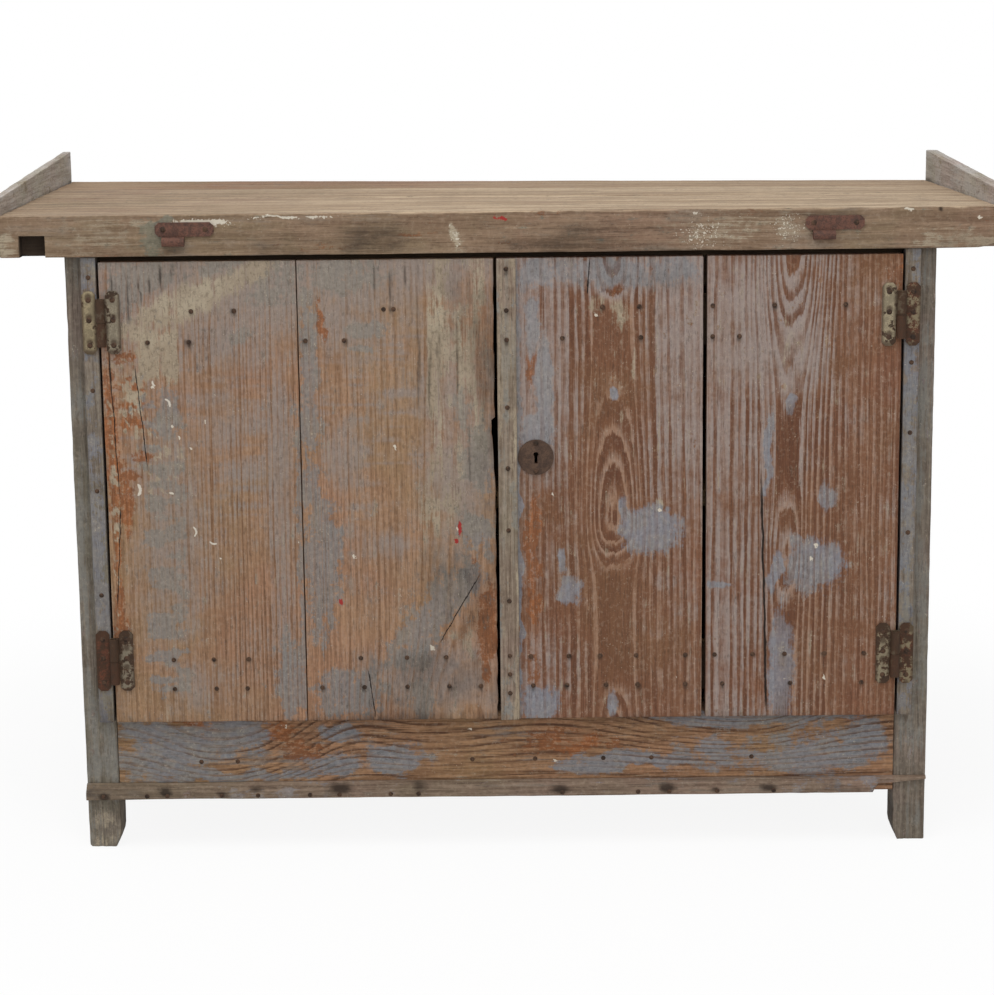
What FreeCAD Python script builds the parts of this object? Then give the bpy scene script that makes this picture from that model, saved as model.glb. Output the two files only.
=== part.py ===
import FreeCAD, Part
import os

V = FreeCAD.Vector

# A low two-door cupboard with a thick overhanging plank top, in millimetres.
# X runs to the right, Y to the back and Z up. The origin is on the floor, under the middle of the whole.

# Top
TOP_HEIGHT = 900.0
TOP_LENGTH = 1342.0
TOP_THICK = 57.0
FRONT_PLANK_DEPTH = 274.0
MIDDLE_PLANK_DEPTH = 168.0
REAR_PLANK_DEPTH = 158.0
BOARD_SEAM = 0.8
END_BOARD_THICK = 18.0
END_RISE_FRONT = 21.0
END_RISE_BACK = 47.0
NOTCH_INSET = 21.5
NOTCH_WIDTH = 35.5
NOTCH_HEIGHT = 30.0
NOTCH_DEPTH = 27.0
CHIP_LENGTH = 22.0
CHIP_HEIGHT = 7.0
CHIP_DEPTH = 14.0

# Carcass
END_OVERHANG = 77.0
FRONT_OVERHANG = 28.0
BACK_OVERHANG = 10.0
POST_WIDTH = 46.0
POST_DEPTH = 50.0
FOOT_CHAMFER_WIDTH = 7.0
FOOT_CHAMFER_HEIGHT = 18.0
SIDE_THICK = 16.0
BACK_THICK = 16.0
SKIRT_HEIGHT = 80.0
RAIL_THICK = 30.0
TOP_RAIL_HEIGHT = 50.0
BEARER_HEIGHT = 40.0
FLOOR_HEIGHT = 145.0
FLOOR_THICK = 20.0
POST_ROOM = 0.5
SHELF_HEIGHT = 480.0
SHELF_THICK = 24.0
SHELF_SETBACK = 30.0
CLEAT_THICK = 25.0
CLEAT_HEIGHT = 40.0
BATTEN_WIDTH = 21.0
APRON_THICK = 21.0
APRON_LAP = 15.0
STRIP_HEIGHT = 22.0
STRIP_FOOT = 74.0
STRIP_DEPTH = 15.0
STRIP_FACE = 11.0
STRIP_LAND = 3.0
BREAK_INSET = 66.0
BREAK_SLANT = 14.0
SHARD_ROOT = 13.0
SHARD_TIP = 5.0
SHARD_THICK = 7.0

# Counts of like boards
SIDE_BOARDS = 2
BACK_BOARDS = 3
FLOOR_BOARDS = 3
SHELF_BOARDS = 2

# Doors
DOOR_THICK = 21.0
DOOR_BOTTOM = 190.0
DOOR_TOP_GAP = 7.0
DOOR_SIDE_GAP = 3.0
DOOR_BACK_GAP = 1.0
MEETING_OFFSET = -7.5
MEETING_GAP = 3.0
LEFT_OUTER_WIDTH = 268.0
RIGHT_INNER_WIDTH = 281.0
RIGHT_CRACK = 5.0
CHUNK_DEPTH = 5.5
MEETING_STRIP_WIDTH = 27.0
MEETING_STRIP_THICK = 8.0
LEDGE_THICK = 22.0
LEDGE_HEIGHT = 70.0
UPPER_LEDGE_DROP = 89.0
LOWER_LEDGE = 69.0
LEDGE_HINGE_INSET = 25.0
LEDGE_MEETING_INSET = 14.0
BOLT_SIDE_INSET = 66.0

# Hinges, and the halves left on the top's front edge
PIN_RADIUS = 3.5
PIN_ROOM = 0.05
PIN_RECESS = 2.0
KNUCKLE_RADIUS = 6.2
KNUCKLE_HALF = 32.5
KNUCKLE_ROOM = 0.3
LEAF_ROOM = 0.6
LEAF_WIDTH = 19.0
LEAF_LENGTH = 86.0
LEAF_THICK = 2.5
LEAF_CLIP = 5.0
AXIS_INSET = 2.0
UPPER_HINGE_DROP = 82.0
LOWER_HINGE = 90.0
FLAP_LEAF_LENGTH = 79.0
FLAP_KNUCKLE_HALF = 30.0
FLAP_LEFT = -425.0
FLAP_RIGHT = 451.0
FLAP_DROP = 36.5

# Key plate, lock and the left door's inside bolt
KEY_PLATE_ROOM = 0.6
PLATE_RADIUS = 24.5
PLATE_THICK = 2.5
KEYHOLE_RADIUS = 3.5
KEYHOLE_SLOT = 4.2
KEYHOLE_DROP = 12.5
KEYHOLE_RISE = 4.0
CASE_WIDTH = 80.0
CASE_HEIGHT = 100.0
CASE_DEPTH = 20.0
CASE_WALL = 2.0
CASE_INSET = 3.0
LOCK_BOLT_HEIGHT = 24.0
LOCK_BOLT_THICK = 10.0
LOCK_BOLT_LENGTH = 62.0
LOCK_BOLT_NOTCH = 9.0
LOCK_BOLT_ROOM = 0.3
ROD_RADIUS = 4.0
ROD_ROOM = 0.08
ROD_LENGTH = 124.0
ROD_INSET = 34.0
ROD_STANDOFF = 8.0
ROD_SHY = 5.0
ROD_MORTISE_ROOM = 1.0
ROD_MORTISE_DEPTH = 22.0
KNOB_RADIUS = 4.5
KNOB_LENGTH = 14.0
BOLT_PLATE_WIDTH = 40.0
BOLT_PLATE_HEIGHT = 112.0
BOLT_PLATE_THICK = 3.0
STAPLE_WIDTH = 22.0
STAPLE_HEIGHT = 9.0

# Nails and screws
NAIL_HEAD_RADIUS = 3.2
NAIL_CROWN = 1.0
NAIL_RADIUS = 1.5
NAIL_LENGTH = 34.0
STRIP_NAIL_LENGTH = 26.0
SCREW_HEAD_RADIUS = 3.8
SCREW_CROWN = 1.2
SCREW_RADIUS = 1.8
SCREW_LENGTH = 15.0

# Places of fasteners, as shares of the piece that they hold
LEFT_UPPER_SHARES = ((0.119, 0.224, 0.520, 0.618), (0.232, 0.341, 0.720, 0.745))
LEFT_LOWER_SHARES = ((0.156, 0.265, 0.346, 0.541, 0.651, 0.763, 0.872, 0.955),
                     (0.156, 0.260, 0.351, 0.643, 0.763, 0.865))
RIGHT_UPPER_SHARES = ((0.162, 0.356, 0.533, 0.599), (0.261, 0.352, 0.533, 0.685, 0.860))
RIGHT_LOWER_SHARES = ((0.083, 0.169, 0.268, 0.347, 0.468, 0.562, 0.734, 0.914),
                      (0.078, 0.174, 0.253, 0.344, 0.468, 0.542, 0.638, 0.719, 0.820, 0.919))
LEDGE_ROW_SHARES = (0.2, 0.8)
MEETING_NAIL_SHARES = (0.978, 0.891, 0.829, 0.685, 0.554, 0.420, 0.265, 0.144, 0.103, 0.061)
LEFT_BATTEN_NAIL_SHARES = (0.87, 0.51, 0.13)
RIGHT_BATTEN_NAIL_SHARES = (0.94, 0.69, 0.33)
BATTEN_TOP_NAIL_SHARE = 0.4
CHUNK_SHARES = (0.511, 0.663)
KEY_HEIGHT_SHARE = 0.576
APRON_NAIL_SHARES = (0.107, 0.154, 0.457, 0.538, 0.626, 0.688, 0.817)
STRIP_NAIL_SHARES = (0.021, 0.073, 0.097, 0.162, 0.205, 0.267, 0.302, 0.363, 0.396, 0.567, 0.657, 0.694,
                     0.751, 0.818)
BOARD_NAIL_SHARES = (0.22, 0.78)
LEAF_SCREW_SHARES = (-0.36, 0.04, 0.36)
FLAP_SCREW_SHARES = (-0.36, 0.36)
HALF_SHARE = 0.5
CORNER_SHARE = 0.8

# Cuts run past the faces that they open by this much
OVERRUN = 2.0

# Places worked out from the sizes above
KNUCKLE_STANDOFF = KNUCKLE_RADIUS + KNUCKLE_ROOM
FLAP_PROUD = KNUCKLE_STANDOFF + KNUCKLE_RADIUS
TOP_DEPTH = FRONT_PLANK_DEPTH + MIDDLE_PLANK_DEPTH + REAR_PLANK_DEPTH
TOP_FRONT = FLAP_PROUD - (TOP_DEPTH + FLAP_PROUD) * HALF_SHARE
TOP_BACK = TOP_FRONT + TOP_DEPTH
TOP_UNDER = TOP_HEIGHT - TOP_THICK
TOP_HALF = TOP_LENGTH * HALF_SHARE
BODY_HALF = TOP_HALF - END_OVERHANG
BODY_WIDTH = BODY_HALF + BODY_HALF
POST_INNER = BODY_HALF - POST_WIDTH
SIDE_INNER = BODY_HALF - SIDE_THICK
POST_FRONT = TOP_FRONT + FRONT_OVERHANG
POST_BACK = POST_FRONT + POST_DEPTH
BACK_OUTER = TOP_BACK - BACK_OVERHANG
BACK_INNER = BACK_OUTER - BACK_THICK
REAR_POST_FRONT = BACK_INNER - POST_DEPTH
RAIL_FOOT = TOP_UNDER - TOP_RAIL_HEIGHT
DOOR_BACK = POST_FRONT - DOOR_BACK_GAP
DOOR_FRONT = DOOR_BACK - DOOR_THICK
DOOR_TOP = TOP_UNDER - DOOR_TOP_GAP
DOOR_HEIGHT = DOOR_TOP - DOOR_BOTTOM
UPPER_LEDGE = DOOR_HEIGHT - UPPER_LEDGE_DROP
UPPER_HINGE = DOOR_HEIGHT - UPPER_HINGE_DROP
DOOR_EDGE = POST_INNER - DOOR_SIDE_GAP
LEFT_MEETING = MEETING_OFFSET - MEETING_GAP * HALF_SHARE
RIGHT_MEETING = MEETING_OFFSET + MEETING_GAP * HALF_SHARE
LEFT_SEAM = -DOOR_EDGE + LEFT_OUTER_WIDTH
RIGHT_SEAM = RIGHT_MEETING + RIGHT_INNER_WIDTH
LEDGE_BACK = DOOR_BACK + LEDGE_THICK
APRON_TOP = DOOR_BOTTOM + APRON_LAP
APRON_BACK = POST_FRONT + APRON_THICK
AXIS_X = DOOR_EDGE - AXIS_INSET
AXIS_Y = DOOR_FRONT - KNUCKLE_STANDOFF
KEY_X = RIGHT_MEETING + MEETING_STRIP_WIDTH + KEY_PLATE_ROOM + PLATE_RADIUS
KEY_Z = DOOR_BOTTOM + KEY_HEIGHT_SHARE * DOOR_HEIGHT
ROD_X = LEFT_MEETING - ROD_INSET
ROD_Y = DOOR_BACK + BOLT_PLATE_THICK + ROD_STANDOFF
ROD_TOP = RAIL_FOOT - ROD_SHY


def block(x0, x1, y0, y1, z0, z1):
    """A squared timber between six planes."""
    return Part.makeBox(x1 - x0, y1 - y0, z1 - z0, V(x0, y0, z0))


def prism(points, along):
    """A flat outline carried along a vector."""
    wire = Part.makePolygon([V(*p) for p in points] + [V(*points[0])])
    return Part.Face(wire).extrude(along)


def rod(base, direction, radius, length):
    """A round bar from a base point."""
    return Part.makeCylinder(radius, length, base, direction)


# Top planks and end boards

def top_plank(front, depth):
    """One plank of the top, short of its neighbour by the seam."""
    return block(-TOP_HALF, TOP_HALF, front, front + depth - BOARD_SEAM, TOP_UNDER, TOP_HEIGHT)


def front_top_plank():
    """The front plank, with the worn notch at its left end and a chipped corner at its right end."""
    plank = top_plank(TOP_FRONT, FRONT_PLANK_DEPTH)
    notch_left = NOTCH_INSET - TOP_HALF
    notch = block(notch_left, notch_left + NOTCH_WIDTH, TOP_FRONT - OVERRUN, TOP_FRONT + NOTCH_DEPTH,
                  TOP_UNDER - OVERRUN, TOP_UNDER + NOTCH_HEIGHT)
    chip = prism([(TOP_HALF - CHIP_LENGTH, TOP_FRONT, TOP_UNDER),
                  (TOP_HALF, TOP_FRONT, TOP_UNDER),
                  (TOP_HALF, TOP_FRONT, TOP_UNDER + CHIP_HEIGHT)], V(0, CHIP_DEPTH, 0))
    return plank.cut(notch).cut(chip)


def end_board(side):
    """A board across the ends of the planks, rising from front to back."""
    inner = side * TOP_HALF
    outline = [(inner, TOP_FRONT, TOP_UNDER),
               (inner, TOP_BACK, TOP_UNDER),
               (inner, TOP_BACK, TOP_HEIGHT + END_RISE_BACK),
               (inner, TOP_FRONT, TOP_HEIGHT + END_RISE_FRONT)]
    return prism(outline, V(side * END_BOARD_THICK, 0, 0))


# Posts, rails and boards of the carcass

def across(side, inner, outer, y0, y1, z0, z1):
    """A squared timber on the left (side -1) or right (side 1) of the middle."""
    return block(min(side * inner, side * outer), max(side * inner, side * outer), y0, y1, z0, z1)


def front_post(side):
    """A front post whose foot is worn away at its inner corner."""
    post = across(side, POST_INNER, BODY_HALF, POST_FRONT, POST_BACK, 0, TOP_UNDER)
    inner = side * POST_INNER
    start = POST_FRONT - OVERRUN
    wear = prism([(inner, start, 0), (inner + side * FOOT_CHAMFER_WIDTH, start, 0),
                  (inner, start, FOOT_CHAMFER_HEIGHT)], V(0, POST_DEPTH + OVERRUN + OVERRUN, 0))
    return post.cut(wear)


def rear_post(side):
    """A plain rear post."""
    return across(side, POST_INNER, BODY_HALF, REAR_POST_FRONT, BACK_INNER, 0, TOP_UNDER)


def hinge_batten(side):
    """The strip nailed on a front post that carries the hinges, flush with the doors."""
    return across(side, POST_INNER, POST_INNER + BATTEN_WIDTH, DOOR_FRONT, POST_FRONT, DOOR_BOTTOM, TOP_UNDER)


def front_top_rail():
    """The rail behind the door tops, mortised from below for the left door's bolt."""
    rail = block(-POST_INNER, POST_INNER, POST_FRONT, POST_FRONT + RAIL_THICK, RAIL_FOOT, TOP_UNDER)
    half = ROD_RADIUS + ROD_MORTISE_ROOM
    mortise = block(ROD_X - half, ROD_X + half, ROD_Y - half, ROD_Y + half, RAIL_FOOT - OVERRUN,
                    RAIL_FOOT + ROD_MORTISE_DEPTH)
    return rail.cut(mortise)


def rear_top_rail():
    """The rail that the rear plank rests on."""
    return block(-POST_INNER, POST_INNER, BACK_INNER - RAIL_THICK, BACK_INNER, RAIL_FOOT, TOP_UNDER)


def side_rail(side, z0, z1):
    """A rail between the front and rear posts, behind the side boards."""
    return across(side, SIDE_INNER - RAIL_THICK, SIDE_INNER, POST_BACK, REAR_POST_FRONT, z0, z1)


def floor_bearer(y0):
    """A bearer between two posts, under the floor boards."""
    return block(-POST_INNER, POST_INNER, y0, y0 + RAIL_THICK, FLOOR_HEIGHT - BEARER_HEIGHT, FLOOR_HEIGHT)


def side_board(side, index, count):
    """One upright board of a side, between the posts."""
    width = (REAR_POST_FRONT - POST_BACK) / count
    front = POST_BACK + index * width
    return across(side, SIDE_INNER, BODY_HALF, front, front + width - BOARD_SEAM, SKIRT_HEIGHT, TOP_UNDER)


def back_board(index, count):
    """One long level board of the back, counted from below."""
    height = (TOP_UNDER - SKIRT_HEIGHT) / count
    foot = SKIRT_HEIGHT + index * height
    return block(-BODY_HALF, BODY_HALF, BACK_INNER, BACK_OUTER, foot, foot + height - BOARD_SEAM)


def floor_board(index, count):
    """One long floor board, counted from the front and cut round the posts."""
    depth = (BACK_INNER - APRON_BACK) / count
    front = APRON_BACK + index * depth
    board = block(-SIDE_INNER, SIDE_INNER, front, front + depth - BOARD_SEAM, FLOOR_HEIGHT,
                  FLOOR_HEIGHT + FLOOR_THICK)
    for side in (-1, 1):
        for y0, y1 in ((POST_FRONT, POST_BACK), (REAR_POST_FRONT, BACK_INNER)):
            board = board.cut(across(side, POST_INNER - POST_ROOM, BODY_HALF, y0 - POST_ROOM, y1 + POST_ROOM,
                                     0, TOP_UNDER))
    return board


def shelf_board(index, count):
    """One long shelf board, counted from the front."""
    start = POST_FRONT + SHELF_SETBACK
    depth = (BACK_INNER - start) / count
    front = start + index * depth
    return block(-POST_INNER, POST_INNER, front, front + depth - BOARD_SEAM, SHELF_HEIGHT,
                 SHELF_HEIGHT + SHELF_THICK)


def shelf_cleat(side):
    """The cleat nailed to the posts under one end of the shelf."""
    return across(side, POST_INNER - CLEAT_THICK, POST_INNER, POST_FRONT + SHELF_SETBACK, BACK_INNER,
                  SHELF_HEIGHT - CLEAT_HEIGHT, SHELF_HEIGHT)


def front_apron():
    """The board under the doors, between the posts."""
    return block(-POST_INNER, POST_INNER, POST_FRONT, APRON_BACK, STRIP_FOOT, APRON_TOP)


def base_strip():
    """The chamfered strip along the foot of the apron, broken off at its right end down to a shard."""
    foot = STRIP_FOOT
    top = foot + STRIP_HEIGHT
    back = POST_FRONT
    front = back - STRIP_DEPTH
    left = -BODY_HALF
    profile = [(left, back, foot), (left, front, foot), (left, front, foot + STRIP_FACE),
               (left, back - STRIP_LAND, top), (left, back, top)]
    strip = prism(profile, V(BODY_WIDTH - BREAK_INSET, 0, 0))
    break_x = BODY_HALF - BREAK_INSET
    shard_x = break_x - BREAK_SLANT
    torn = prism([(shard_x, front - OVERRUN, foot), (break_x, front - OVERRUN, foot),
                  (break_x, front - OVERRUN, top - SHARD_ROOT)], V(0, STRIP_DEPTH + OVERRUN + OVERRUN, 0))
    shard = prism([(shard_x, back, top - SHARD_ROOT), (BODY_HALF, back, top - SHARD_TIP),
                   (BODY_HALF, back, top), (shard_x, back, top)], V(0, -SHARD_THICK, 0))
    shard_front = back - SHARD_THICK
    shard_slope = prism([(break_x, shard_front, top), (break_x, back - STRIP_LAND, top),
                         (break_x, shard_front, top - SHARD_TIP * HALF_SHARE)], V(BREAK_INSET, 0, 0))
    return strip.cut(torn).fuse(shard.cut(shard_slope)).removeSplitter()


# Doors

def door_board(x0, x1):
    """One upright board of a door."""
    return block(x0, x1, DOOR_FRONT, DOOR_BACK, DOOR_BOTTOM, DOOR_TOP)


def left_inner_board():
    """The left door's inner board, with a chunk broken out of its meeting edge."""
    board = door_board(LEFT_SEAM + BOARD_SEAM, LEFT_MEETING)
    low, high = [DOOR_BOTTOM + share * DOOR_HEIGHT for share in CHUNK_SHARES]
    chunk = prism([(LEFT_MEETING, DOOR_FRONT - OVERRUN, low),
                   (LEFT_MEETING, DOOR_FRONT - OVERRUN, high),
                   (LEFT_MEETING - CHUNK_DEPTH, DOOR_FRONT - OVERRUN, high)],
                  V(0, DOOR_THICK + OVERRUN + OVERRUN, 0))
    return board.cut(chunk)


def keyhole(y0, depth):
    """The keyhole's round top and the slot under it, as a cutting tool."""
    slot_half = KEYHOLE_SLOT * HALF_SHARE
    middle = KEY_Z + KEYHOLE_RISE
    round_top = rod(V(KEY_X, y0, middle), V(0, 1, 0), KEYHOLE_RADIUS, depth)
    slot = block(KEY_X - slot_half, KEY_X + slot_half, y0, y0 + depth, middle - KEYHOLE_DROP, middle)
    return round_top.fuse(slot)


def right_inner_board():
    """The right door's inner board, pierced for the key."""
    board = door_board(RIGHT_MEETING, RIGHT_SEAM)
    return board.cut(keyhole(DOOR_FRONT - OVERRUN, DOOR_THICK + OVERRUN + OVERRUN))


def meeting_strip():
    """The strip nailed on the right door's meeting edge."""
    return block(RIGHT_MEETING, RIGHT_MEETING + MEETING_STRIP_WIDTH,
                 DOOR_FRONT - MEETING_STRIP_THICK, DOOR_FRONT, DOOR_BOTTOM, DOOR_TOP)


def ledge(x0, x1, middle):
    """A level ledge behind a door's boards, at a height above the door's foot."""
    foot = DOOR_BOTTOM + middle - LEDGE_HEIGHT * HALF_SHARE
    return block(x0, x1, DOOR_BACK, LEDGE_BACK, foot, foot + LEDGE_HEIGHT)


# Hinges

def clipped_leaf(inner, outer, y0, y1, length):
    """A hinge leaf centred on height zero, with its four corners clipped."""
    half = length * HALF_SHARE
    step = LEAF_CLIP if outer > inner else -LEAF_CLIP
    outline = [(inner, y0, LEAF_CLIP - half), (inner + step, y0, -half), (outer - step, y0, -half),
               (outer, y0, LEAF_CLIP - half), (outer, y0, half - LEAF_CLIP), (outer - step, y0, half),
               (inner + step, y0, half), (inner, y0, half - LEAF_CLIP)]
    return prism(outline, V(0, y1 - y0, 0))


def hinge_half(side, bore, z0, z1, length):
    """Half a lift-off hinge about the Z axis: a leaf on the given side and a knuckle between two heights."""
    gap = KNUCKLE_RADIUS + LEAF_ROOM
    back = KNUCKLE_STANDOFF
    leaf = clipped_leaf(side * gap, side * (gap + LEAF_WIDTH), back - LEAF_THICK, back, length)
    reach = gap + LEAF_CLIP
    tongue = block(min(0, side * reach), max(0, side * reach), back - LEAF_THICK, back, z0, z1)
    knuckle = rod(V(0, 0, z0), V(0, 0, 1), KNUCKLE_RADIUS, z1 - z0)
    hole = rod(V(0, 0, z0 - OVERRUN), V(0, 0, 1), bore, z1 - z0 + OVERRUN + OVERRUN)
    return leaf.fuse(tongue).fuse(knuckle).removeSplitter().cut(hole)


def at_hinges(side, make):
    """The same shape at the upper and lower hinge of one door."""
    shapes = []
    for height in (LOWER_HINGE, UPPER_HINGE):
        shape = make()
        shape.translate(V(side * AXIS_X, AXIS_Y, DOOR_BOTTOM + height))
        shapes.append(shape)
    return shapes


def frame_leaf(side):
    """The post's half of a hinge, with the lower knuckle."""
    return hinge_half(side, PIN_RADIUS, -KNUCKLE_HALF, -LEAF_ROOM * HALF_SHARE, LEAF_LENGTH)


def door_leaf(side):
    """The door's half of a hinge, with the upper knuckle."""
    return hinge_half(-side, PIN_RADIUS + PIN_ROOM, LEAF_ROOM * HALF_SHARE, KNUCKLE_HALF, LEAF_LENGTH)


def hinge_pin():
    """The pin, fast in the lower knuckle and a little short of the upper one's end."""
    return rod(V(0, 0, -KNUCKLE_HALF), V(0, 0, 1), PIN_RADIUS, KNUCKLE_HALF + KNUCKLE_HALF - PIN_RECESS)


def flap_half(x):
    """A hinge half laid level on the top's front edge, its knuckle under the left end of its leaf."""
    half = hinge_half(1, PIN_RADIUS + PIN_ROOM, 0, FLAP_KNUCKLE_HALF, FLAP_LEAF_LENGTH)
    half.rotate(V(0, 0, 0), V(0, 1, 0), -90)
    half.translate(V(x, TOP_FRONT - KNUCKLE_STANDOFF, TOP_HEIGHT - FLAP_DROP))
    return half


# Key plate, lock and inside bolt

def key_plate():
    """The round iron plate on the right door, with its keyhole."""
    plate = rod(V(KEY_X, DOOR_FRONT - PLATE_THICK, KEY_Z), V(0, 1, 0), PLATE_RADIUS, PLATE_THICK)
    return plate.cut(keyhole(DOOR_FRONT - PLATE_THICK - OVERRUN, PLATE_THICK + OVERRUN + OVERRUN))


def lock_bolt_place():
    """The lock bolt's left end, front face and foot at rest."""
    left = RIGHT_MEETING + CASE_INSET
    front = DOOR_BACK + (CASE_DEPTH - CASE_WALL - LOCK_BOLT_THICK) * HALF_SHARE
    return left, front, KEY_Z - LOCK_BOLT_HEIGHT * HALF_SHARE


def lock_case():
    """The lock's case, a shell open towards the door, with a mouth for the bolt in its left wall."""
    left, front, foot = lock_bolt_place()
    right = left + CASE_WIDTH
    low = KEY_Z - CASE_HEIGHT * HALF_SHARE
    shell = block(left, right, DOOR_BACK, DOOR_BACK + CASE_DEPTH, low, low + CASE_HEIGHT)
    hollow = block(left + CASE_WALL, right - CASE_WALL,
                   DOOR_BACK - OVERRUN, DOOR_BACK + CASE_DEPTH - CASE_WALL,
                   low + CASE_WALL, low + CASE_HEIGHT - CASE_WALL)
    mouth = block(left - OVERRUN, left + CASE_WALL + OVERRUN, front - LOCK_BOLT_ROOM,
                  front + LOCK_BOLT_THICK + LOCK_BOLT_ROOM, foot - LOCK_BOLT_ROOM,
                  foot + LOCK_BOLT_HEIGHT + LOCK_BOLT_ROOM)
    return shell.cut(hollow).cut(mouth)


def lock_bolt():
    """The bolt that the key throws, with a notch in its foot for the key's bit."""
    left, front, foot = lock_bolt_place()
    bar = block(left, left + LOCK_BOLT_LENGTH, front, front + LOCK_BOLT_THICK, foot, foot + LOCK_BOLT_HEIGHT)
    notch = block(KEY_X, KEY_X + LOCK_BOLT_NOTCH, front - OVERRUN, front + LOCK_BOLT_THICK + OVERRUN,
                  foot - OVERRUN, foot + LOCK_BOLT_NOTCH)
    return bar.cut(notch)


def bolt_plate():
    """The inside bolt's plate on the left door, with two guides for its rod."""
    half = BOLT_PLATE_WIDTH * HALF_SHARE
    face = DOOR_BACK + BOLT_PLATE_THICK
    top = ROD_TOP - ROD_SHY
    foot = top - BOLT_PLATE_HEIGHT
    plate = block(ROD_X - half, ROD_X + half, DOOR_BACK, face, foot, top)
    half = STAPLE_WIDTH * HALF_SHARE
    for low in (foot + STAPLE_HEIGHT, top - STAPLE_HEIGHT - STAPLE_HEIGHT):
        plate = plate.fuse(block(ROD_X - half, ROD_X + half, face, face + ROD_STANDOFF + ROD_STANDOFF, low,
                                 low + STAPLE_HEIGHT))
    bore = rod(V(ROD_X, ROD_Y, foot - OVERRUN), V(0, 0, 1), ROD_RADIUS + ROD_ROOM,
               BOLT_PLATE_HEIGHT + OVERRUN + OVERRUN)
    return plate.cut(bore).removeSplitter()


def door_bolt():
    """The inside bolt's rod, with a knob to push it up."""
    foot = ROD_TOP - ROD_LENGTH
    knob_height = foot + ROD_LENGTH * HALF_SHARE
    return rod(V(ROD_X, ROD_Y, foot), V(0, 0, 1), ROD_RADIUS, ROD_LENGTH).fuse(
        rod(V(ROD_X, ROD_Y, knob_height), V(0, 1, 0), KNOB_RADIUS, ROD_RADIUS + KNOB_LENGTH))


# Nails and screws

def driven(place, direction, head, crown, radius, length):
    """A turned fastener: a crowned head on the surface and a shank driven in along the direction."""
    profile = [(0, 0, -crown), (head * HALF_SHARE, 0, -crown), (head, 0, 0), (radius, 0, 0),
               (radius, 0, length), (0, 0, length)]
    wire = Part.makePolygon([V(*p) for p in profile] + [V(*profile[0])])
    shape = Part.Face(wire).revolve(V(0, 0, 0), V(0, 0, 1), 360)
    shape.Placement = FreeCAD.Placement(place, FreeCAD.Rotation(V(0, 0, 1), direction))
    return shape


def nail(x, y, z, direction, length=NAIL_LENGTH):
    """A cut nail."""
    return driven(V(x, y, z), V(*direction), NAIL_HEAD_RADIUS, NAIL_CROWN, NAIL_RADIUS, length)


def screw(x, y, z, direction):
    """A wood screw."""
    return driven(V(x, y, z), V(*direction), SCREW_HEAD_RADIUS, SCREW_CROWN, SCREW_RADIUS, SCREW_LENGTH)


INWARDS = (0, 1, 0)
OUTWARDS = (0, -1, 0)


def ledge_nails(x0, x1, middle, rows):
    """Two rows of nails from the door's face into a ledge, as shares of the door's width."""
    nails = []
    foot = DOOR_BOTTOM + middle - LEDGE_HEIGHT * HALF_SHARE
    for row_share, shares in zip(LEDGE_ROW_SHARES, rows):
        for share in shares:
            nails.append(nail(x0 + share * (x1 - x0), DOOR_FRONT, foot + row_share * LEDGE_HEIGHT, INWARDS))
    return nails


def left_door_nails():
    """The left door's nails."""
    span = (-DOOR_EDGE, LEFT_MEETING)
    lower = ledge_nails(*span, LOWER_LEDGE, LEFT_LOWER_SHARES)
    return lower + ledge_nails(*span, UPPER_LEDGE, LEFT_UPPER_SHARES)


def right_door_nails():
    """The right door's nails, with those of its meeting strip."""
    span = (RIGHT_MEETING, DOOR_EDGE)
    nails = ledge_nails(*span, LOWER_LEDGE, RIGHT_LOWER_SHARES)
    nails += ledge_nails(*span, UPPER_LEDGE, RIGHT_UPPER_SHARES)
    middle = RIGHT_MEETING + MEETING_STRIP_WIDTH * HALF_SHARE
    face = DOOR_FRONT - MEETING_STRIP_THICK
    for share in MEETING_NAIL_SHARES:
        nails.append(nail(middle, face, DOOR_BOTTOM + share * DOOR_HEIGHT, INWARDS, STRIP_NAIL_LENGTH))
    return nails


def carcass_nails():
    """Nails of the battens, apron, base strip, side boards and back boards."""
    nails = []
    leaf_half = LEAF_LENGTH * HALF_SHARE
    low = DOOR_BOTTOM + LOWER_HINGE + leaf_half
    high = DOOR_BOTTOM + UPPER_HINGE - leaf_half
    above = high + LEAF_LENGTH
    for side, shares in ((-1, LEFT_BATTEN_NAIL_SHARES), (1, RIGHT_BATTEN_NAIL_SHARES)):
        x = side * (POST_INNER + BATTEN_WIDTH * HALF_SHARE)
        heights = [low + share * (high - low) for share in shares]
        heights.append(above + BATTEN_TOP_NAIL_SHARE * (TOP_UNDER - above))
        for z in heights:
            nails.append(nail(x, DOOR_FRONT, z, INWARDS))
    bearer_middle = FLOOR_HEIGHT - BEARER_HEIGHT * HALF_SHARE
    for share in APRON_NAIL_SHARES:
        nails.append(nail((share + share - 1) * POST_INNER, POST_FRONT, bearer_middle, INWARDS))
    for share in STRIP_NAIL_SHARES:
        nails.append(nail((share + share - 1) * BODY_HALF, POST_FRONT - STRIP_DEPTH,
                          STRIP_FOOT + STRIP_FACE * HALF_SHARE, INWARDS, STRIP_NAIL_LENGTH))
    heights = (bearer_middle, TOP_UNDER - TOP_RAIL_HEIGHT * HALF_SHARE)
    board_depth = (REAR_POST_FRONT - POST_BACK) / SIDE_BOARDS
    for side in (-1, 1):
        for index in range(SIDE_BOARDS):
            for share in BOARD_NAIL_SHARES:
                for z in heights:
                    y = POST_BACK + (index + share) * board_depth
                    nails.append(nail(side * BODY_HALF, y, z, (-side, 0, 0)))
        for index in range(BACK_BOARDS):
            for share in BOARD_NAIL_SHARES:
                z = SKIRT_HEIGHT + (index + share) * (TOP_UNDER - SKIRT_HEIGHT) / BACK_BOARDS
                nails.append(nail(side * (BODY_HALF - POST_WIDTH * HALF_SHARE), BACK_OUTER, z, OUTWARDS))
    return nails


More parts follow.
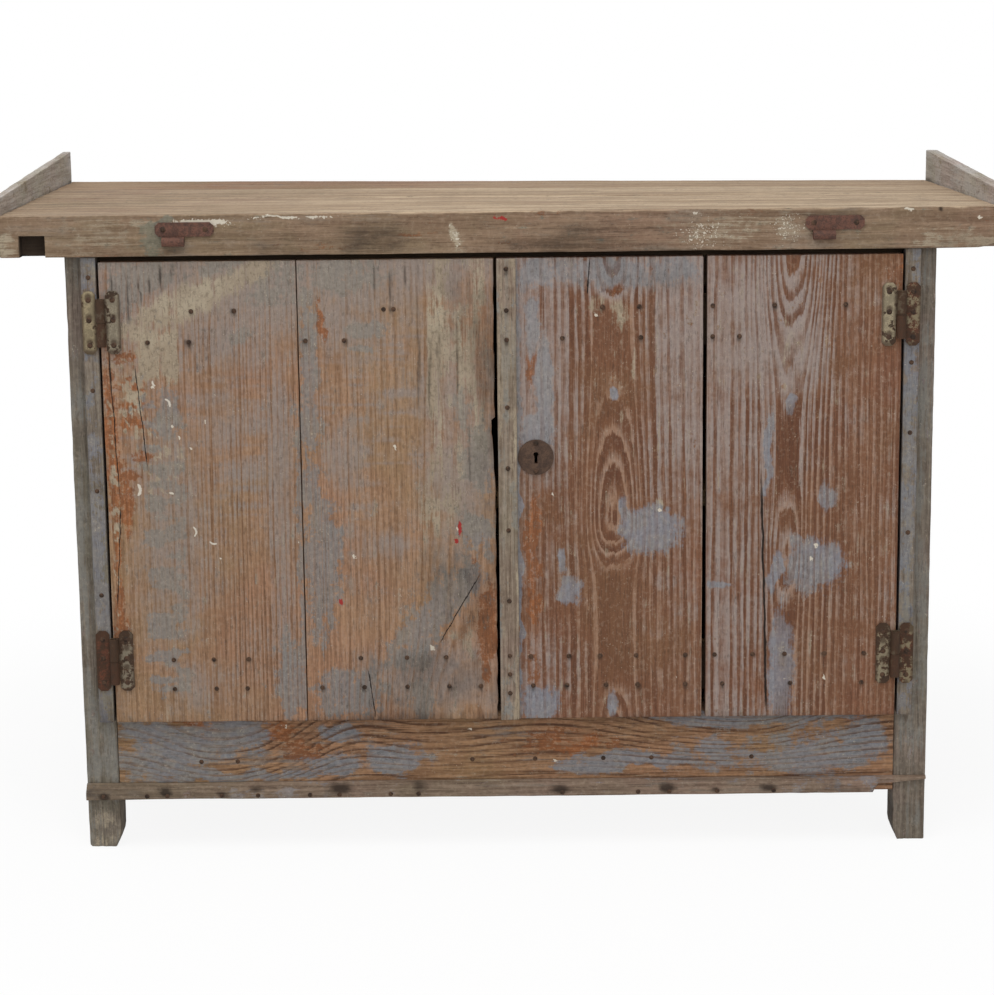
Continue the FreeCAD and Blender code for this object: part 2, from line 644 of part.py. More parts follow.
def leaf_screws(side, hinge_side):
    """Screws of a door's two hinge leaves: hinge_side is the side of the axis that the leaf lies on."""
    middle = KNUCKLE_RADIUS + LEAF_ROOM + LEAF_WIDTH * HALF_SHARE
    x = side * AXIS_X + hinge_side * middle
    screws = []
    for height in (LOWER_HINGE, UPPER_HINGE):
        for share in LEAF_SCREW_SHARES:
            z = DOOR_BOTTOM + height + share * LEAF_LENGTH
            screws.append(screw(x, DOOR_FRONT - LEAF_THICK, z, INWARDS))
    return screws


def carcass_screws():
    """Screws of the hinge leaves on the battens and of the hinge halves on the top's edge."""
    screws = leaf_screws(-1, -1) + leaf_screws(1, 1)
    z = TOP_HEIGHT - FLAP_DROP + KNUCKLE_RADIUS + LEAF_ROOM + LEAF_WIDTH * HALF_SHARE
    for x in (FLAP_LEFT, FLAP_RIGHT):
        for share in FLAP_SCREW_SHARES:
            screws.append(screw(x + share * FLAP_LEAF_LENGTH, TOP_FRONT - LEAF_THICK, z, INWARDS))
    return screws


def left_door_screws():
    """Screws of the left door's hinge leaves and of its inside bolt's plate."""
    screws = leaf_screws(-1, 1)
    top = ROD_TOP - ROD_SHY
    for x in (-CORNER_SHARE, CORNER_SHARE):
        for z in (HALF_SHARE * HALF_SHARE, HALF_SHARE + HALF_SHARE * HALF_SHARE):
            screws.append(screw(ROD_X + x * BOLT_PLATE_WIDTH * HALF_SHARE, DOOR_BACK + BOLT_PLATE_THICK,
                                top - z * BOLT_PLATE_HEIGHT, OUTWARDS))
    return screws


def right_door_screws():
    """Screws of the right door's hinge leaves, of its lock case and of its key plate."""
    screws = leaf_screws(1, -1)
    middle = lock_bolt_place()[0] + CASE_WIDTH * HALF_SHARE
    for x in (-CORNER_SHARE, CORNER_SHARE):
        for z in (-CORNER_SHARE, CORNER_SHARE):
            screws.append(screw(middle + x * CASE_WIDTH * HALF_SHARE, DOOR_BACK + CASE_DEPTH,
                                KEY_Z + z * CASE_HEIGHT * HALF_SHARE, OUTWARDS))
    for z in (-CORNER_SHARE, CORNER_SHARE):
        screws.append(screw(KEY_X, DOOR_FRONT - PLATE_THICK, KEY_Z + z * PLATE_RADIUS, INWARDS))
    return screws


MIDDLE_PLANK_FRONT = TOP_FRONT + FRONT_PLANK_DEPTH
REAR_PLANK_FRONT = MIDDLE_PLANK_FRONT + MIDDLE_PLANK_DEPTH
LEFT_LEDGE_START = LEDGE_HINGE_INSET - DOOR_EDGE
RIGHT_LEDGE_SPAN = (RIGHT_MEETING + LEDGE_MEETING_INSET, DOOR_EDGE - LEDGE_HINGE_INSET)

parts = {
    "front_top_plank": front_top_plank(),
    "middle_top_plank": top_plank(MIDDLE_PLANK_FRONT, MIDDLE_PLANK_DEPTH),
    "rear_top_plank": top_plank(REAR_PLANK_FRONT, REAR_PLANK_DEPTH + BOARD_SEAM),
    "front_top_rail": front_top_rail(),
    "rear_top_rail": rear_top_rail(),
    "front_floor_bearer": floor_bearer(APRON_BACK),
    "rear_floor_bearer": floor_bearer(BACK_INNER - RAIL_THICK),
    "front_apron": front_apron(),
    "base_strip": base_strip(),
    "left_door_outer_board": door_board(-DOOR_EDGE, LEFT_SEAM),
    "left_door_inner_board": left_inner_board(),
    "left_door_upper_ledge": ledge(LEFT_LEDGE_START, LEFT_MEETING - BOLT_SIDE_INSET, UPPER_LEDGE),
    "left_door_lower_ledge": ledge(LEFT_LEDGE_START, LEFT_MEETING - LEDGE_MEETING_INSET, LOWER_LEDGE),
    "left_door_bolt_plate": bolt_plate(),
    "left_door_bolt": door_bolt(),
    "right_door_inner_board": right_inner_board(),
    "right_door_outer_board": door_board(RIGHT_SEAM + RIGHT_CRACK, DOOR_EDGE),
    "meeting_strip": meeting_strip(),
    "right_door_upper_ledge": ledge(*RIGHT_LEDGE_SPAN, UPPER_LEDGE),
    "right_door_lower_ledge": ledge(*RIGHT_LEDGE_SPAN, LOWER_LEDGE),
    "key_plate": key_plate(),
    "lock_case": lock_case(),
    "lock_bolt": lock_bolt(),
}
for side_name, side in (("left", -1), ("right", 1)):
    parts[side_name + "_end_board"] = end_board(side)
    parts[side_name + "_front_post"] = front_post(side)
    parts[side_name + "_rear_post"] = rear_post(side)
    parts[side_name + "_hinge_batten"] = hinge_batten(side)
    parts[side_name + "_side_top_rail"] = side_rail(side, RAIL_FOOT, TOP_UNDER)
    parts[side_name + "_side_bottom_rail"] = side_rail(side, FLOOR_HEIGHT - BEARER_HEIGHT, FLOOR_HEIGHT)
    parts[side_name + "_shelf_cleat"] = shelf_cleat(side)
    for index in range(SIDE_BOARDS):
        parts["%s_side_board_%d" % (side_name, index + 1)] = side_board(side, index, SIDE_BOARDS)
for index in range(BACK_BOARDS):
    parts["back_board_%d" % (index + 1)] = back_board(index, BACK_BOARDS)
for index in range(FLOOR_BOARDS):
    parts["floor_board_%d" % (index + 1)] = floor_board(index, FLOOR_BOARDS)
for index in range(SHELF_BOARDS):
    parts["shelf_board_%d" % (index + 1)] = shelf_board(index, SHELF_BOARDS)

groups = {
    "frame_hinge_leaves": at_hinges(-1, lambda: frame_leaf(-1)) + at_hinges(1, lambda: frame_leaf(1)),
    "hinge_pins": at_hinges(-1, hinge_pin) + at_hinges(1, hinge_pin),
    "left_door_hinge_leaves": at_hinges(-1, lambda: door_leaf(-1)),
    "right_door_hinge_leaves": at_hinges(1, lambda: door_leaf(1)),
    "flap_hinge_halves": [flap_half(FLAP_LEFT), flap_half(FLAP_RIGHT)],
    "carcass_nails": carcass_nails(),
    "carcass_screws": carcass_screws(),
    "left_door_nails": left_door_nails(),
    "left_door_screws": left_door_screws(),
    "right_door_nails": right_door_nails(),
    "right_door_screws": right_door_screws(),
}
for name, solids in groups.items():
    parts[name] = Part.makeCompound(solids)

os.makedirs("parts", exist_ok=True)
for name, shape in parts.items():
    shape.exportStep("parts/" + name + ".step")
    print(name, len(shape.Solids), shape.isValid(), round(shape.Volume))
print(len(parts), "pieces")
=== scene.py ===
import math
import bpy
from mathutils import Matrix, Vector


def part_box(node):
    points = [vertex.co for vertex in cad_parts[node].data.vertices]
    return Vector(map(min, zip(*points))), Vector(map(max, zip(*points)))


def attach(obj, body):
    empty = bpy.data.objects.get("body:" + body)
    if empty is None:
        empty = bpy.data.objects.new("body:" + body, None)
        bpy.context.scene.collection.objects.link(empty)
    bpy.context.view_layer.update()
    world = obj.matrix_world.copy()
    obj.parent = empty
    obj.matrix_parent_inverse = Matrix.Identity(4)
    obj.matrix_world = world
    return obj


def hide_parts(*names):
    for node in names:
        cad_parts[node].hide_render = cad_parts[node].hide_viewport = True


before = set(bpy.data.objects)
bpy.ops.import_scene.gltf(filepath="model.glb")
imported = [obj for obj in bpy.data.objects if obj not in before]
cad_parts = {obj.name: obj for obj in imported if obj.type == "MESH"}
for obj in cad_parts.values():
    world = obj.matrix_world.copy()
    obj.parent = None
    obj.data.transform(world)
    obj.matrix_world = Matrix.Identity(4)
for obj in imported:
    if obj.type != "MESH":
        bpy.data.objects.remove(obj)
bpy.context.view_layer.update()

from types import SimpleNamespace

import bpy
import numpy as np
from mathutils import Matrix


# Corner posts: four square pine posts that run from the floor to the top and carry everything.
# Sawn, planed by hand, once painted and now worn to grey wood; the front feet are chamfered inside.
SIDES = (("left", -1), ("right", 1))
# The grime channel holds real grime and, on some pieces, painted shade: dark faces and corners where shade falls.
COATS = {"coat": ("paint", "bare", "pale", "grime"), "marks": ("white", "red", "veil", "warm")}


def lumps(points, size, seed):
    """Smooth lumps from 0 to 1: random values on a lattice of the given cell size, blended between the eight
    corners of each cell with the curve 3t^2 - 2t^3."""
    place = points / np.asarray(size) + seed * 7.31
    cell = np.floor(place).astype(np.int64)
    part = place - cell
    part = part * part * (3 - 2 * part)
    total = np.zeros(len(points))
    for corner in np.ndindex(2, 2, 2):
        key = (cell + corner) @ np.array([73856093, 19349663, 83492791]) + seed * 9781
        key = (key * 2654435761) & 0xFFFFFFFF
        key = ((key ^ (key >> 15)) * 2246822519) & 0xFFFFFFFF
        key = key ^ (key >> 13)
        total += np.prod(np.where(corner, part, 1 - part), axis=1) * key / 2 ** 32
    return total


def ramp(value, start, span):
    """0 up to the start, then rising evenly to 1 over the span; a span below 0 rises the other way."""
    return np.clip((value - start) / span, 0, 1)


def block_skin(low, high, step, cuts, gone):
    """The skin of a block: lattice lines run along its three axes, a step apart and closer at the edges, cells that
    gone() marks are taken away, and each grid of cell sides between wood and air becomes quads facing the air."""
    lines = []
    for axis in range(3):
        long = high[axis] - low[axis]
        inner = np.linspace(low[axis], high[axis], max(3, int(round(long / step[axis])) + 1))
        near = np.array([0.0, 0.0007, 0.0018, 0.0035])
        near = near[near < long / 3]
        inner = inner[(inner > low[axis] + 0.005) & (inner < high[axis] - 0.005)]
        lines.append(np.unique(np.round(np.concatenate([low[axis] + near, inner, high[axis] - near,
                                                        np.asarray(cuts[axis], float)]), 6)))
    count = [len(line) for line in lines]
    mids = np.meshgrid(*[(line[1:] + line[:-1]) / 2 for line in lines], indexing="ij")
    wood = np.ones(mids[0].shape, bool) if gone is None else ~gone(*mids)
    padded = np.pad(wood, 1).astype(np.int8)
    corners = []
    unit = np.eye(3, dtype=int)
    for axis in range(3):
        change = np.diff(padded, axis=axis)
        change = change[tuple(slice(None) if a == axis else slice(1, -1) for a in range(3))]
        one, two = unit[(axis + 1) % 3], unit[(axis + 2) % 3]
        for sign in (-1, 1):
            base = np.argwhere(change == sign)
            quad = np.stack([base, base + one, base + one + two, base + two], axis=1)
            corners.append(quad if sign < 0 else quad[:, ::-1])
    corners = np.concatenate(corners)
    number = np.ravel_multi_index(tuple(corners.reshape(-1, 3).T), count)
    used, faces = np.unique(number, return_inverse=True)
    index = np.unravel_index(used, count)
    points = np.stack([lines[axis][index[axis]] for axis in range(3)], axis=1)
    return points, faces.reshape(-1, 4)


def growth_rings(points, along, face, heart, spacing, drift=0.0, eyes=(), sway=0.5, plain=0.0, crown=None, seed=0):
    """The growth-ring number at each point: its distance from the tree's heart line over the ring spacing, plus a
    drift along the length, less a bell for each eye (place, half length, rings, half width; the half length may be a
    pair, above and below) where the saw ran out through the rings. A plain band may lie each side of the heart line,
    and a crown (place, number) sets the number on the face over that line at one place."""
    across = 3 - along - face
    length = points[:, along]
    stretch = np.full(3, 0.05)
    stretch[along] = 0.4
    aside = points[:, across] - heart[0] + 0.012 * (lumps(points, stretch * 2, seed + 5) - 0.5)
    past = np.maximum(np.abs(aside) - plain, 0)
    count = np.hypot(past, points[:, face] - heart[1]) / spacing + drift * length
    count = count + sway * (lumps(points, stretch, seed) - 0.5)
    for place, half, rings, reach in eyes:
        above, below = half if isinstance(half, tuple) else (half, half)
        away = (length - place) / np.where(length > place, above, below)
        count = count - rings * np.exp(-away ** 2 - (aside / reach) ** 2)
    years = np.stack([count, 0 * count, 0 * count], axis=1)
    count = count + 1.3 * lumps(years, 2.3, seed + 8)
    if crown is not None:
        near = np.abs(aside) + np.abs(length - crown[0]) + np.abs(points[:, face] - points[:, face].min())
        count = count + crown[1] - count[np.argmin(near)]
    return count


def timber(node, body, finish, along, face, heart, spacing, step=0.009, worn=0.0016, dent=0.0005, gone=None,
           cuts=((), (), ()), shape=None, coat=None, seed=1, **grain):
    """A worn length of wood in place of a CAD node: the skin of the node's block with its edges rounded (each point
    is pushed out from the block shrunk by the rounding), the rounding growing and shrinking along the edges, and
    shallow dents all over. Ring numbers and coats of paint go to the mesh as attributes."""
    low, high = (np.array(corner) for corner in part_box(node))
    steps = np.full(3, step)
    steps[along] = step * 1.3
    points, faces = block_skin(low, high, steps, cuts, gone)
    stretch = np.full(3, 0.018)
    stretch[along] = 0.05
    rough = lumps(points, stretch, seed + 1) * lumps(points, stretch * 0.35, seed + 2)
    limit = (high - low).min() * 0.45
    radius = np.minimum(worn * (0.5 + 3.2 * rough), limit)[:, None]
    core = np.clip(points, low + radius, high - radius)
    out = points - core
    size = np.linalg.norm(out, axis=1, keepdims=True)
    out = np.where(size > 1e-9, out / np.maximum(size, 1e-9), 0.0)
    wave = lumps(points, stretch * 1.7, seed + 3)[:, None]
    points = np.where(size > 1e-9, core + out * (radius - dent * wave), points)
    ring = growth_rings(points, along, face, heart, spacing, seed=seed, **grain)
    coats = SimpleNamespace(**{part: np.zeros(len(points)) for parts in COATS.values() for part in parts})
    if coat is not None:
        coat(points, out, coats)
    if shape is not None:
        points = shape(points, low, high)
    mesh = bpy.data.meshes.new(node + "_wood")
    mesh.from_pydata(points, [], faces)
    mesh.attributes.new("ring", "FLOAT", "POINT").data.foreach_set("value", ring.astype(np.float32))
    for name, parts in COATS.items():
        values = np.stack([getattr(coats, part) for part in parts], axis=1)
        layer = mesh.attributes.new(name, "FLOAT_COLOR", "POINT")
        layer.data.foreach_set("color", np.clip(values, 0, 1).astype(np.float32).ravel())
    mesh.shade_smooth()
    mesh.materials.append(finish)
    piece = bpy.data.objects.new(node + "_wood", mesh)
    bpy.context.scene.collection.objects.link(piece)
    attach(piece, body)
    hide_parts(node)
    return piece


class Wire:
    """A shader socket. Arithmetic on it adds Math nodes, and node() adds any other node."""

    def __init__(self, tree, socket=None):
        self.tree = tree
        self.socket = socket

    def node(self, kind, settings, sockets, output=0):
        made = self.tree.nodes.new(kind)
        for key, value in settings.items():
            setattr(made, key, value)
        for key, value in sockets.items():
            if isinstance(value, Wire):
                self.tree.links.new(value.socket, made.inputs[key])
            else:
                made.inputs[key].default_value = value
        return Wire(self.tree, made.outputs[output])

    def math(self, operation, *values):
        return self.node("ShaderNodeMath", {"operation": operation}, dict(enumerate(values)))

    def __add__(self, other):
        return self.math("ADD", self, other)

    def __sub__(self, other):
        return self.math("SUBTRACT", self, other)

    def __rsub__(self, other):
        return self.math("SUBTRACT", other, self)

    def __mul__(self, other):
        return self.math("MULTIPLY", self, other)

    def __truediv__(self, other):
        return self.math("DIVIDE", self, other)

    def __abs__(self):
        return self.math("ABSOLUTE", self)

    __radd__ = __add__
    __rmul__ = __mul__

    def far(self, other):
        """The length of two steps at right angles."""
        square = self * self + other * other
        return square.math("SQRT", square)

    def parts(self, kind):
        """The three parts of a place (XYZ) or a colour (Color)."""
        return [self.node("ShaderNodeSeparate" + kind, {}, {0: self}, part) for part in range(3)]

    def given(self, name, output="Color"):
        """A value that the mesh carries."""
        return self.node("ShaderNodeAttribute", {"attribute_name": name}, {}, output)

    def rise(self, low, high):
        """0 below low, 1 above high, smooth between."""
        return self.node("ShaderNodeMapRange", {"interpolation_type": "SMOOTHSTEP"}, {0: self, 1: low, 2: high})

    def over(self, under, colour):
        """The colour laid over another, as thick as this value."""
        return self.node("ShaderNodeMix", {"data_type": "RGBA"}, {0: self, 6: under, 7: colour}, 2)

    def grain(self, vector, scale, detail=3.0, rough=0.55):
        """Noise about zero, seldom past 1 or -1."""
        noise = self.node("ShaderNodeTexNoise", {}, {"Vector": vector, "Scale": scale, "Detail": detail,
                                                     "Roughness": rough})
        return noise * 8.0 - 4.0


def tone(colour, share=1.0, shift=(0, 0, 0)):
    """A colour as the eye names it, in steps of 255, taken by a share and shifted, as the shader's linear values."""
    steps = (np.array(colour) * share + shift) / 255
    linear = np.where(steps <= 0.04045, steps / 12.92, ((steps + 0.055) / 1.055) ** 2.4)
    return (*linear, 1.0)


def blank(name):
    """A new material, a wire to start from and the place on the object."""
    material = bpy.data.materials.new(name)
    material.use_nodes = True
    start = Wire(material.node_tree)
    return material, start, start.node("ShaderNodeTexCoord", {}, {}, "Object")


def surface(material, body, rough, height, strength, depth, sheen):
    """Joins colour, roughness, relief and sheen to a material's shader."""
    bump = body.node("ShaderNodeBump", {}, {"Strength": strength, "Distance": depth, "Height": height})
    shader = material.node_tree.nodes["Principled BSDF"]
    for key, wire in (("Base Color", body), ("Roughness", rough), ("Normal", bump)):
        material.node_tree.links.new(wire.socket, shader.inputs[key])
    shader.inputs["Specular IOR Level"].default_value = sheen
    return material


def worn_pine(name, along, early, late, silver, silver_share, line_depth=0.8, hollow=None, hollow_share=0.0,
              ripe=(0.42, 0.88), paint=(124, 119, 120), film=0.88, through=0.35, tear=1.0, scrub=None, splits=(),
              flicks=()):
    """Weathered pine: each growth ring darkens towards its latewood edge and may hold pale paint in the hollow after
    it, by a chance of its own; fibres and broad streaks run along the grain, silver-grey bloom lies over them, then
    bare patches and coats of old paint torn at their edges, fine checks, splashes, specks, and grime that is partly
    painted shade. Splits run between two places on the front; flicks of white are arcs about a spot, open on one side."""
    material, start, place = blank(name)
    ways = []
    for draw in (0.035, 0.22):
        squeeze = [draw if axis == along else 1.0 for axis in range(3)]
        ways.append(start.node("ShaderNodeVectorMath", {"operation": "MULTIPLY"}, {0: place, 1: squeeze}))
    fibre_way, flake_way = ways
    fibre = start.grain(fibre_way, 560.0, 4.0, 0.7)
    thread = start.grain(fibre_way, 230.0, 3.0, 0.6)
    streak = start.grain(fibre_way, 95.0, 3.0)
    flake = start.grain(flake_way, 120.0, 6.0, 0.7)
    pore = start.grain(flake_way, 420.0, 3.0, 0.6)
    torn = start.grain(place, 48.0, 9.0, 0.72)
    mottle = start.grain(place, 150.0, 6.0, 0.7)
    blotch = start.grain(place, 12.0, 6.0, 0.62)
    cloud = start.grain(place, 5.5, 4.0, 0.55)
    speck = start.grain(place, 420.0, 2.0)
    painted, bare, pale = start.given("coat").parts("Color")
    white, red, veil = start.given("marks").parts("Color")
    grime, warm = start.given("coat", "Alpha"), start.given("marks", "Alpha")
    count = start.given("ring", "Fac") + 0.09 * streak + 0.08 * thread + 0.06 * fibre
    phase = count.math("FRACT", count)
    year = count.math("FLOOR", count)
    hard, deep = (start.node("ShaderNodeTexWhiteNoise", {"noise_dimensions": "1D"}, {"W": number})
                  for number in (year, year + 37.3))
    latewood = phase.rise(*ripe) * (1.0 - phase.rise(0.93, 1.0))
    clear = (blotch * 0.6 + cloud * 0.5 + flake * 0.3).rise(-0.7, 0.5)
    dark = latewood * (0.4 + 0.75 * hard) * (0.5 + 0.6 * clear) * (line_depth + 0.7 * warm)
    body = (streak * 0.5 + blotch * 0.5 + thread * 0.3).rise(-0.6, 0.6).over(tone(early[0]), tone(early[1]))

    def lay(thick, colour):
        """Lays a colour, or a wire of colour, over the body."""
        nonlocal body
        body = thick.over(body, colour if isinstance(colour, Wire) else tone(*colour))

    if scrub is not None:
        board = start.grain(fibre_way, 42.0, 5.0, 0.65)
        lay(veil, (board * 0.8 + streak * 0.3).rise(-0.5, 0.5).over(tone(scrub[0]), tone(scrub[1])))
        cloud = cloud * (1.0 - 0.7 * veil)
        blotch = blotch * (1.0 - 0.6 * veil)
        dark = dark * (1.0 - 0.45 * veil)
    lay(cloud.rise(0.1, 0.9) * 0.4, (early[1], (1.02, 0.95, 0.98)))
    lay((1.0 - cloud.rise(-0.9, -0.1)) * 0.4, (early[0], (0.96, 1.04, 0.98)))
    lay(dark, (late,))
    lay(thread.rise(0.1, 0.9) * 0.42, (late,))
    lay((1.0 - thread.rise(-0.9, -0.1)) * (0.35 - 0.3 * warm), (early[1], 1.13))
    lay(fibre.rise(0.1, 0.9) * 0.42, (late, 0.82))
    if hollow is not None:
        held = (deep * 0.6 + flake * 0.2 + thread * 0.1 + torn * 0.15 + blotch * 0.3 + veil * 0.5 + warm * 0.7
                + hollow_share - 0.3)
        held = (1.0 - phase.rise(0.16, 0.36)) * held.rise(-0.4, 0.6)
        lay(held * (0.72 - 0.3 * veil),
            (veil * 1.6 + blotch * 0.4).rise(0.1, 0.9).over(tone(hollow[0]), tone(hollow[1])))
        mist = (veil * 1.15 - 0.2 + flake * 0.1 + torn * 0.12 + blotch * 0.3 - dark * 1.1 - thread * 0.1
                - fibre * 0.15)
        lay(mist.rise(-0.5, 1.0) * 0.84, (hollow[1],))
    bloom = (silver_share * 2.2 - 0.55 + blotch * 0.6 + streak * 0.4 + fibre * 0.3 - warm).rise(0.0, 0.8)
    lay(bloom * 0.8, (silver,))
    wear = torn * 0.55 + flake * 0.40 + mottle * 0.25
    fresh = (latewood * 0.6).over(tone((146, 90, 52)), tone((100, 56, 30)))
    fresh = (blotch * 0.6 + mottle * 0.5).rise(-0.5, 0.6).over(fresh, tone((122, 76, 46)))
    fresh = (fibre.rise(0.2, 0.9) * 0.5).over(fresh, tone((92, 56, 34)))
    lay((bare * 1.5 - 0.75 + wear).rise(-0.15, 0.35) * 0.88, fresh)
    lime = (pale * 1.5 - 0.75 + wear * 0.8 - fibre * 0.25 - streak * 0.25 - thread * 0.2).rise(-0.3, 0.55)
    milk = blotch.rise(-0.4, 0.5).over(tone((160, 148, 127)), tone((146, 132, 112)))
    lay(lime * 0.9, (mottle.rise(0.2, 0.9) * 0.5).over(milk, tone((126, 112, 94))))
    cover = (painted * 1.5 - 0.75 + wear * tear - fibre * 0.15).rise(-0.18, 0.32)
    skin = (blotch * 0.8 + torn * 0.5).rise(-0.5, 0.5).over(tone(paint), tone(paint, shift=(5, 2, -5)))
    for thick, share, shift in (((cloud * 0.6 + blotch * 0.5).rise(0.0, 0.7) * 0.6, 1.0, (-5, 0, 5)),
                                (veil.rise(0.35, 0.8) * 0.8, 1.0, (7, 2, -6)),
                                (mottle.rise(0.2, 0.9) * 0.25, 0.82, (0, 0, 0)),
                                ((1.0 - mottle.rise(-0.9, -0.3)) * 0.25, 1.13, (0, 0, 0)),
                                (fibre.rise(0.3, 0.9) * 0.25, 0.75, (0, 0, 0))):
        skin = thick.over(skin, tone(paint, share, shift))
    lay(cover * (film - dark * through), skin)
    lay(mottle.rise(0.1, 1.0) * 0.15, ((74, 60, 50),))
    lay((1.0 - mottle.rise(-1.0, -0.1)) * 0.12, ((184, 168, 148),))
    lay(pore.rise(0.7, 1.1) * 0.3, ((58, 45, 36),))
    lay((speck * 0.8 + torn * 0.5 + painted * 0.10 + pale * 0.2 - 1.45).rise(0.0, 0.2) * 0.45, ((186, 174, 154),))
    check = 1.0 - abs(streak + flake * 0.35).rise(0.0, 0.045)
    check = check * (blotch * 0.7 + cloud * 0.6 + painted * 0.35).rise(0.35, 0.75)
    lay(check * 0.65, ((58, 46, 38),))
    lay((white * 1.5 - 0.75 + speck * 0.22 + mottle * 0.30).rise(-0.05, 0.15), ((194, 185, 169),))
    lay((red * 1.5 - 0.75 + mottle * 0.3).rise(-0.05, 0.2), ((146, 46, 42),))
    # Real grime and painted shade, both from the grime channel, laid on as dark brown.
    lay((grime * 1.5 - 0.28 + flake * 0.12 + blotch * 0.14).rise(0.0, 1.0) * 0.9, ((42, 32, 25),))
    height = (latewood * 0.2 + fibre * 0.12 + thread * 0.10 + cover * 0.25 + flake * 0.08 + mottle * 0.06
              - check * 0.6)
    x, y, z = place.parts("XYZ")
    for low, high, width in splits:
        share = (z - low[1]) / (high[1] - low[1])
        aside = x - (low[0] + share * (high[0] - low[0]) + flake * 0.0009)
        inside = share.rise(-0.02, 0.08) * (1.0 - share.rise(0.85, 1.02))
        gap = (1.0 - abs(aside).rise(width * 0.35, width)) * inside
        lay(gap, ((30, 21, 16),))
        height = height - gap * 2.5
    for spot, radius, wide, facing in flicks:
        across, up = x - spot[0] + mottle * 0.0006, z - spot[1]
        side = across * math.cos(facing) + up * math.sin(facing)
        drop = (1.0 - abs(across.far(up) - radius).rise(0.0, wide * 1.3)) * side.rise(0.35 * radius, 0.9 * radius)
        drop = drop.rise(0.2, 0.5)
        lay(drop * 0.9, ((200, 192, 178),))
        height = height + drop * 0.8
    return surface(material, body, 0.88 - cover * 0.14 - latewood * 0.06, height, 0.5, 0.0008, 0.25)


def soiled(points, out, coats):
    """Grime in slow patches over a board."""
    coats.grime += 0.30 * lumps(points, 0.06, 9)


def damp_and_shaded_foot(points, out, coats):
    """The same grime, damp that has darkened the end grain and the lowest part of a post, and painted shade on the
    inner sides of the feet.
    """
    x, y, z = points.T
    soiled(points, out, coats)
    low = ramp(z, 0.075, -0.03)
    inward = np.clip(-np.sign(x) * out[:, 0], 0, 1)
    # Damp darkens the lowest part of the right posts; the inward faces of the feet get painted shade.
    coats.grime += low * (0.22 * (x > 0) + 0.35 * inward)
    coats.pale += 0.45 * low * (x < 0)


GREY_GREEN = ((106, 97, 87), (125, 115, 102))
post_pine = worn_pine("grey_post_pine", 2, GREY_GREEN, (80, 68, 56), (122, 120, 114), 0.32, line_depth=0.6)
FOOT_CHAMFER = 0.0075
FOOT_CHAMFER_TALL = 0.019


def chamfered_foot(points, low, high):
    """The inner edge of a front foot planed off: points under the chamfer's slope move outwards to it."""
    inward = -np.sign(low[0] + high[0])
    inner = low[0] if inward < 0 else high[0]
    depth = FOOT_CHAMFER * np.clip(1 - (points[:, 2] - low[2]) / FOOT_CHAMFER_TALL, 0, 1)
    reach = np.clip(1 - np.abs(points[:, 0] - inner) / (2.5 * FOOT_CHAMFER), 0, 1)
    points[:, 0] -= inward * depth * reach
    return points


for side, sign in SIDES:
    timber(side + "_front_post", "carcass", post_pine, 2, 1, (sign * 0.52, -0.18), 0.0045, step=0.006, worn=0.0022,
           shape=chamfered_foot, coat=damp_and_shaded_foot, seed=10 + sign, drift=6.0)
    timber(side + "_rear_post", "carcass", post_pine, 2, 1, (sign * 0.52, 0.36), 0.0045, coat=soiled, seed=14 + sign,
           drift=5.0)


# Rails and bearers: plain sawn lengths between the posts, nailed from outside.
# Bare pine, never painted, browned by age; the front top rail has a square mortise for the left door's bolt.
DRY = ((150, 118, 84), (172, 142, 106))
dry_pine = {axis: worn_pine("dry_pine_%s" % "xyz"[axis], axis, DRY, (112, 78, 50), (140, 124, 104), 0.05)
            for axis in range(3)}
MORTISE_HALF = 0.0055
bolt_low, bolt_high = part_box("left_door_bolt")
mortise_x = (bolt_low[0] + bolt_high[0]) / 2
mortise_y = bolt_low[1] + 0.004
mortise_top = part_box("front_top_rail")[0][2] + 0.022


def mortise(x, y, z):
    """The cells of the rail that the mortise takes, a square hole from below."""
    return (np.abs(x - mortise_x) < MORTISE_HALF) & (np.abs(y - mortise_y) < MORTISE_HALF) & (z < mortise_top)


mortise_cuts = ((mortise_x - MORTISE_HALF, mortise_x + MORTISE_HALF),
                (mortise_y - MORTISE_HALF, mortise_y + MORTISE_HALF), (mortise_top,))


def forward(out):
    """Where the skin looks forward."""
    return out[:, 1] < -0.3


def soiled_and_shaded_front(points, out, coats):
    """Grime in slow patches, and painted shade on the face that looks out over the doors, which is made fully dark."""
    soiled(points, out, coats)
    # Painted shade: the forward face is made fully dark, for the shaded gap above the doors.
    coats.grime = np.where(forward(out), 1.0, coats.grime)


timber("front_top_rail", "carcass", dry_pine[0], 0, 1, (0.70, -0.20), 0.0045, gone=mortise, cuts=mortise_cuts,
       coat=soiled_and_shaded_front, seed=21, drift=1.0)
for node, heart, seed in (("rear_top_rail", (0.72, 0.20), 22), ("front_floor_bearer", (0.02, -0.19), 23),
                          ("rear_floor_bearer", (0.02, 0.20), 24)):
    timber(node, "carcass", dry_pine[0], 0, 1, heart, 0.0045, coat=soiled, seed=seed, drift=1.0)
for side, sign in SIDES:
    for end, heart, seed in (("top", 0.72, 26), ("bottom", 0.02, 30)):
        timber("%s_side_%s_rail" % (side, end), "carcass", dry_pine[1], 1, 0, (heart, sign * 0.50), 0.0045, coat=soiled,
               seed=seed + sign, drift=1.0)


# Sides and back: two upright boards in each end and three level boards across the back, butted and nailed.
# Pine, painted outside with the same grey-blue as the front and worn in patches; the back was never painted.
def flecked(points, out, coats):
    """Old paint in worn patches, with grime in slow patches and along the foot."""
    x, y, z = points.T
    slow = lumps(points, (0.11, 0.11, 0.2), 41) * 0.65 + lumps(points, (0.03, 0.03, 0.06), 42) * 0.35
    coats.paint = np.clip((slow - 0.42) * 4.0, 0, 1) * 0.8
    coats.pale = np.clip(lumps(points, (0.09, 0.09, 0.15), 43) - 0.62, 0, 1) * 2.0
    coats.grime = 0.32 * lumps(points, 0.07, 44) + 0.35 * np.clip(1 - (z - 0.08) / 0.09, 0, 1)


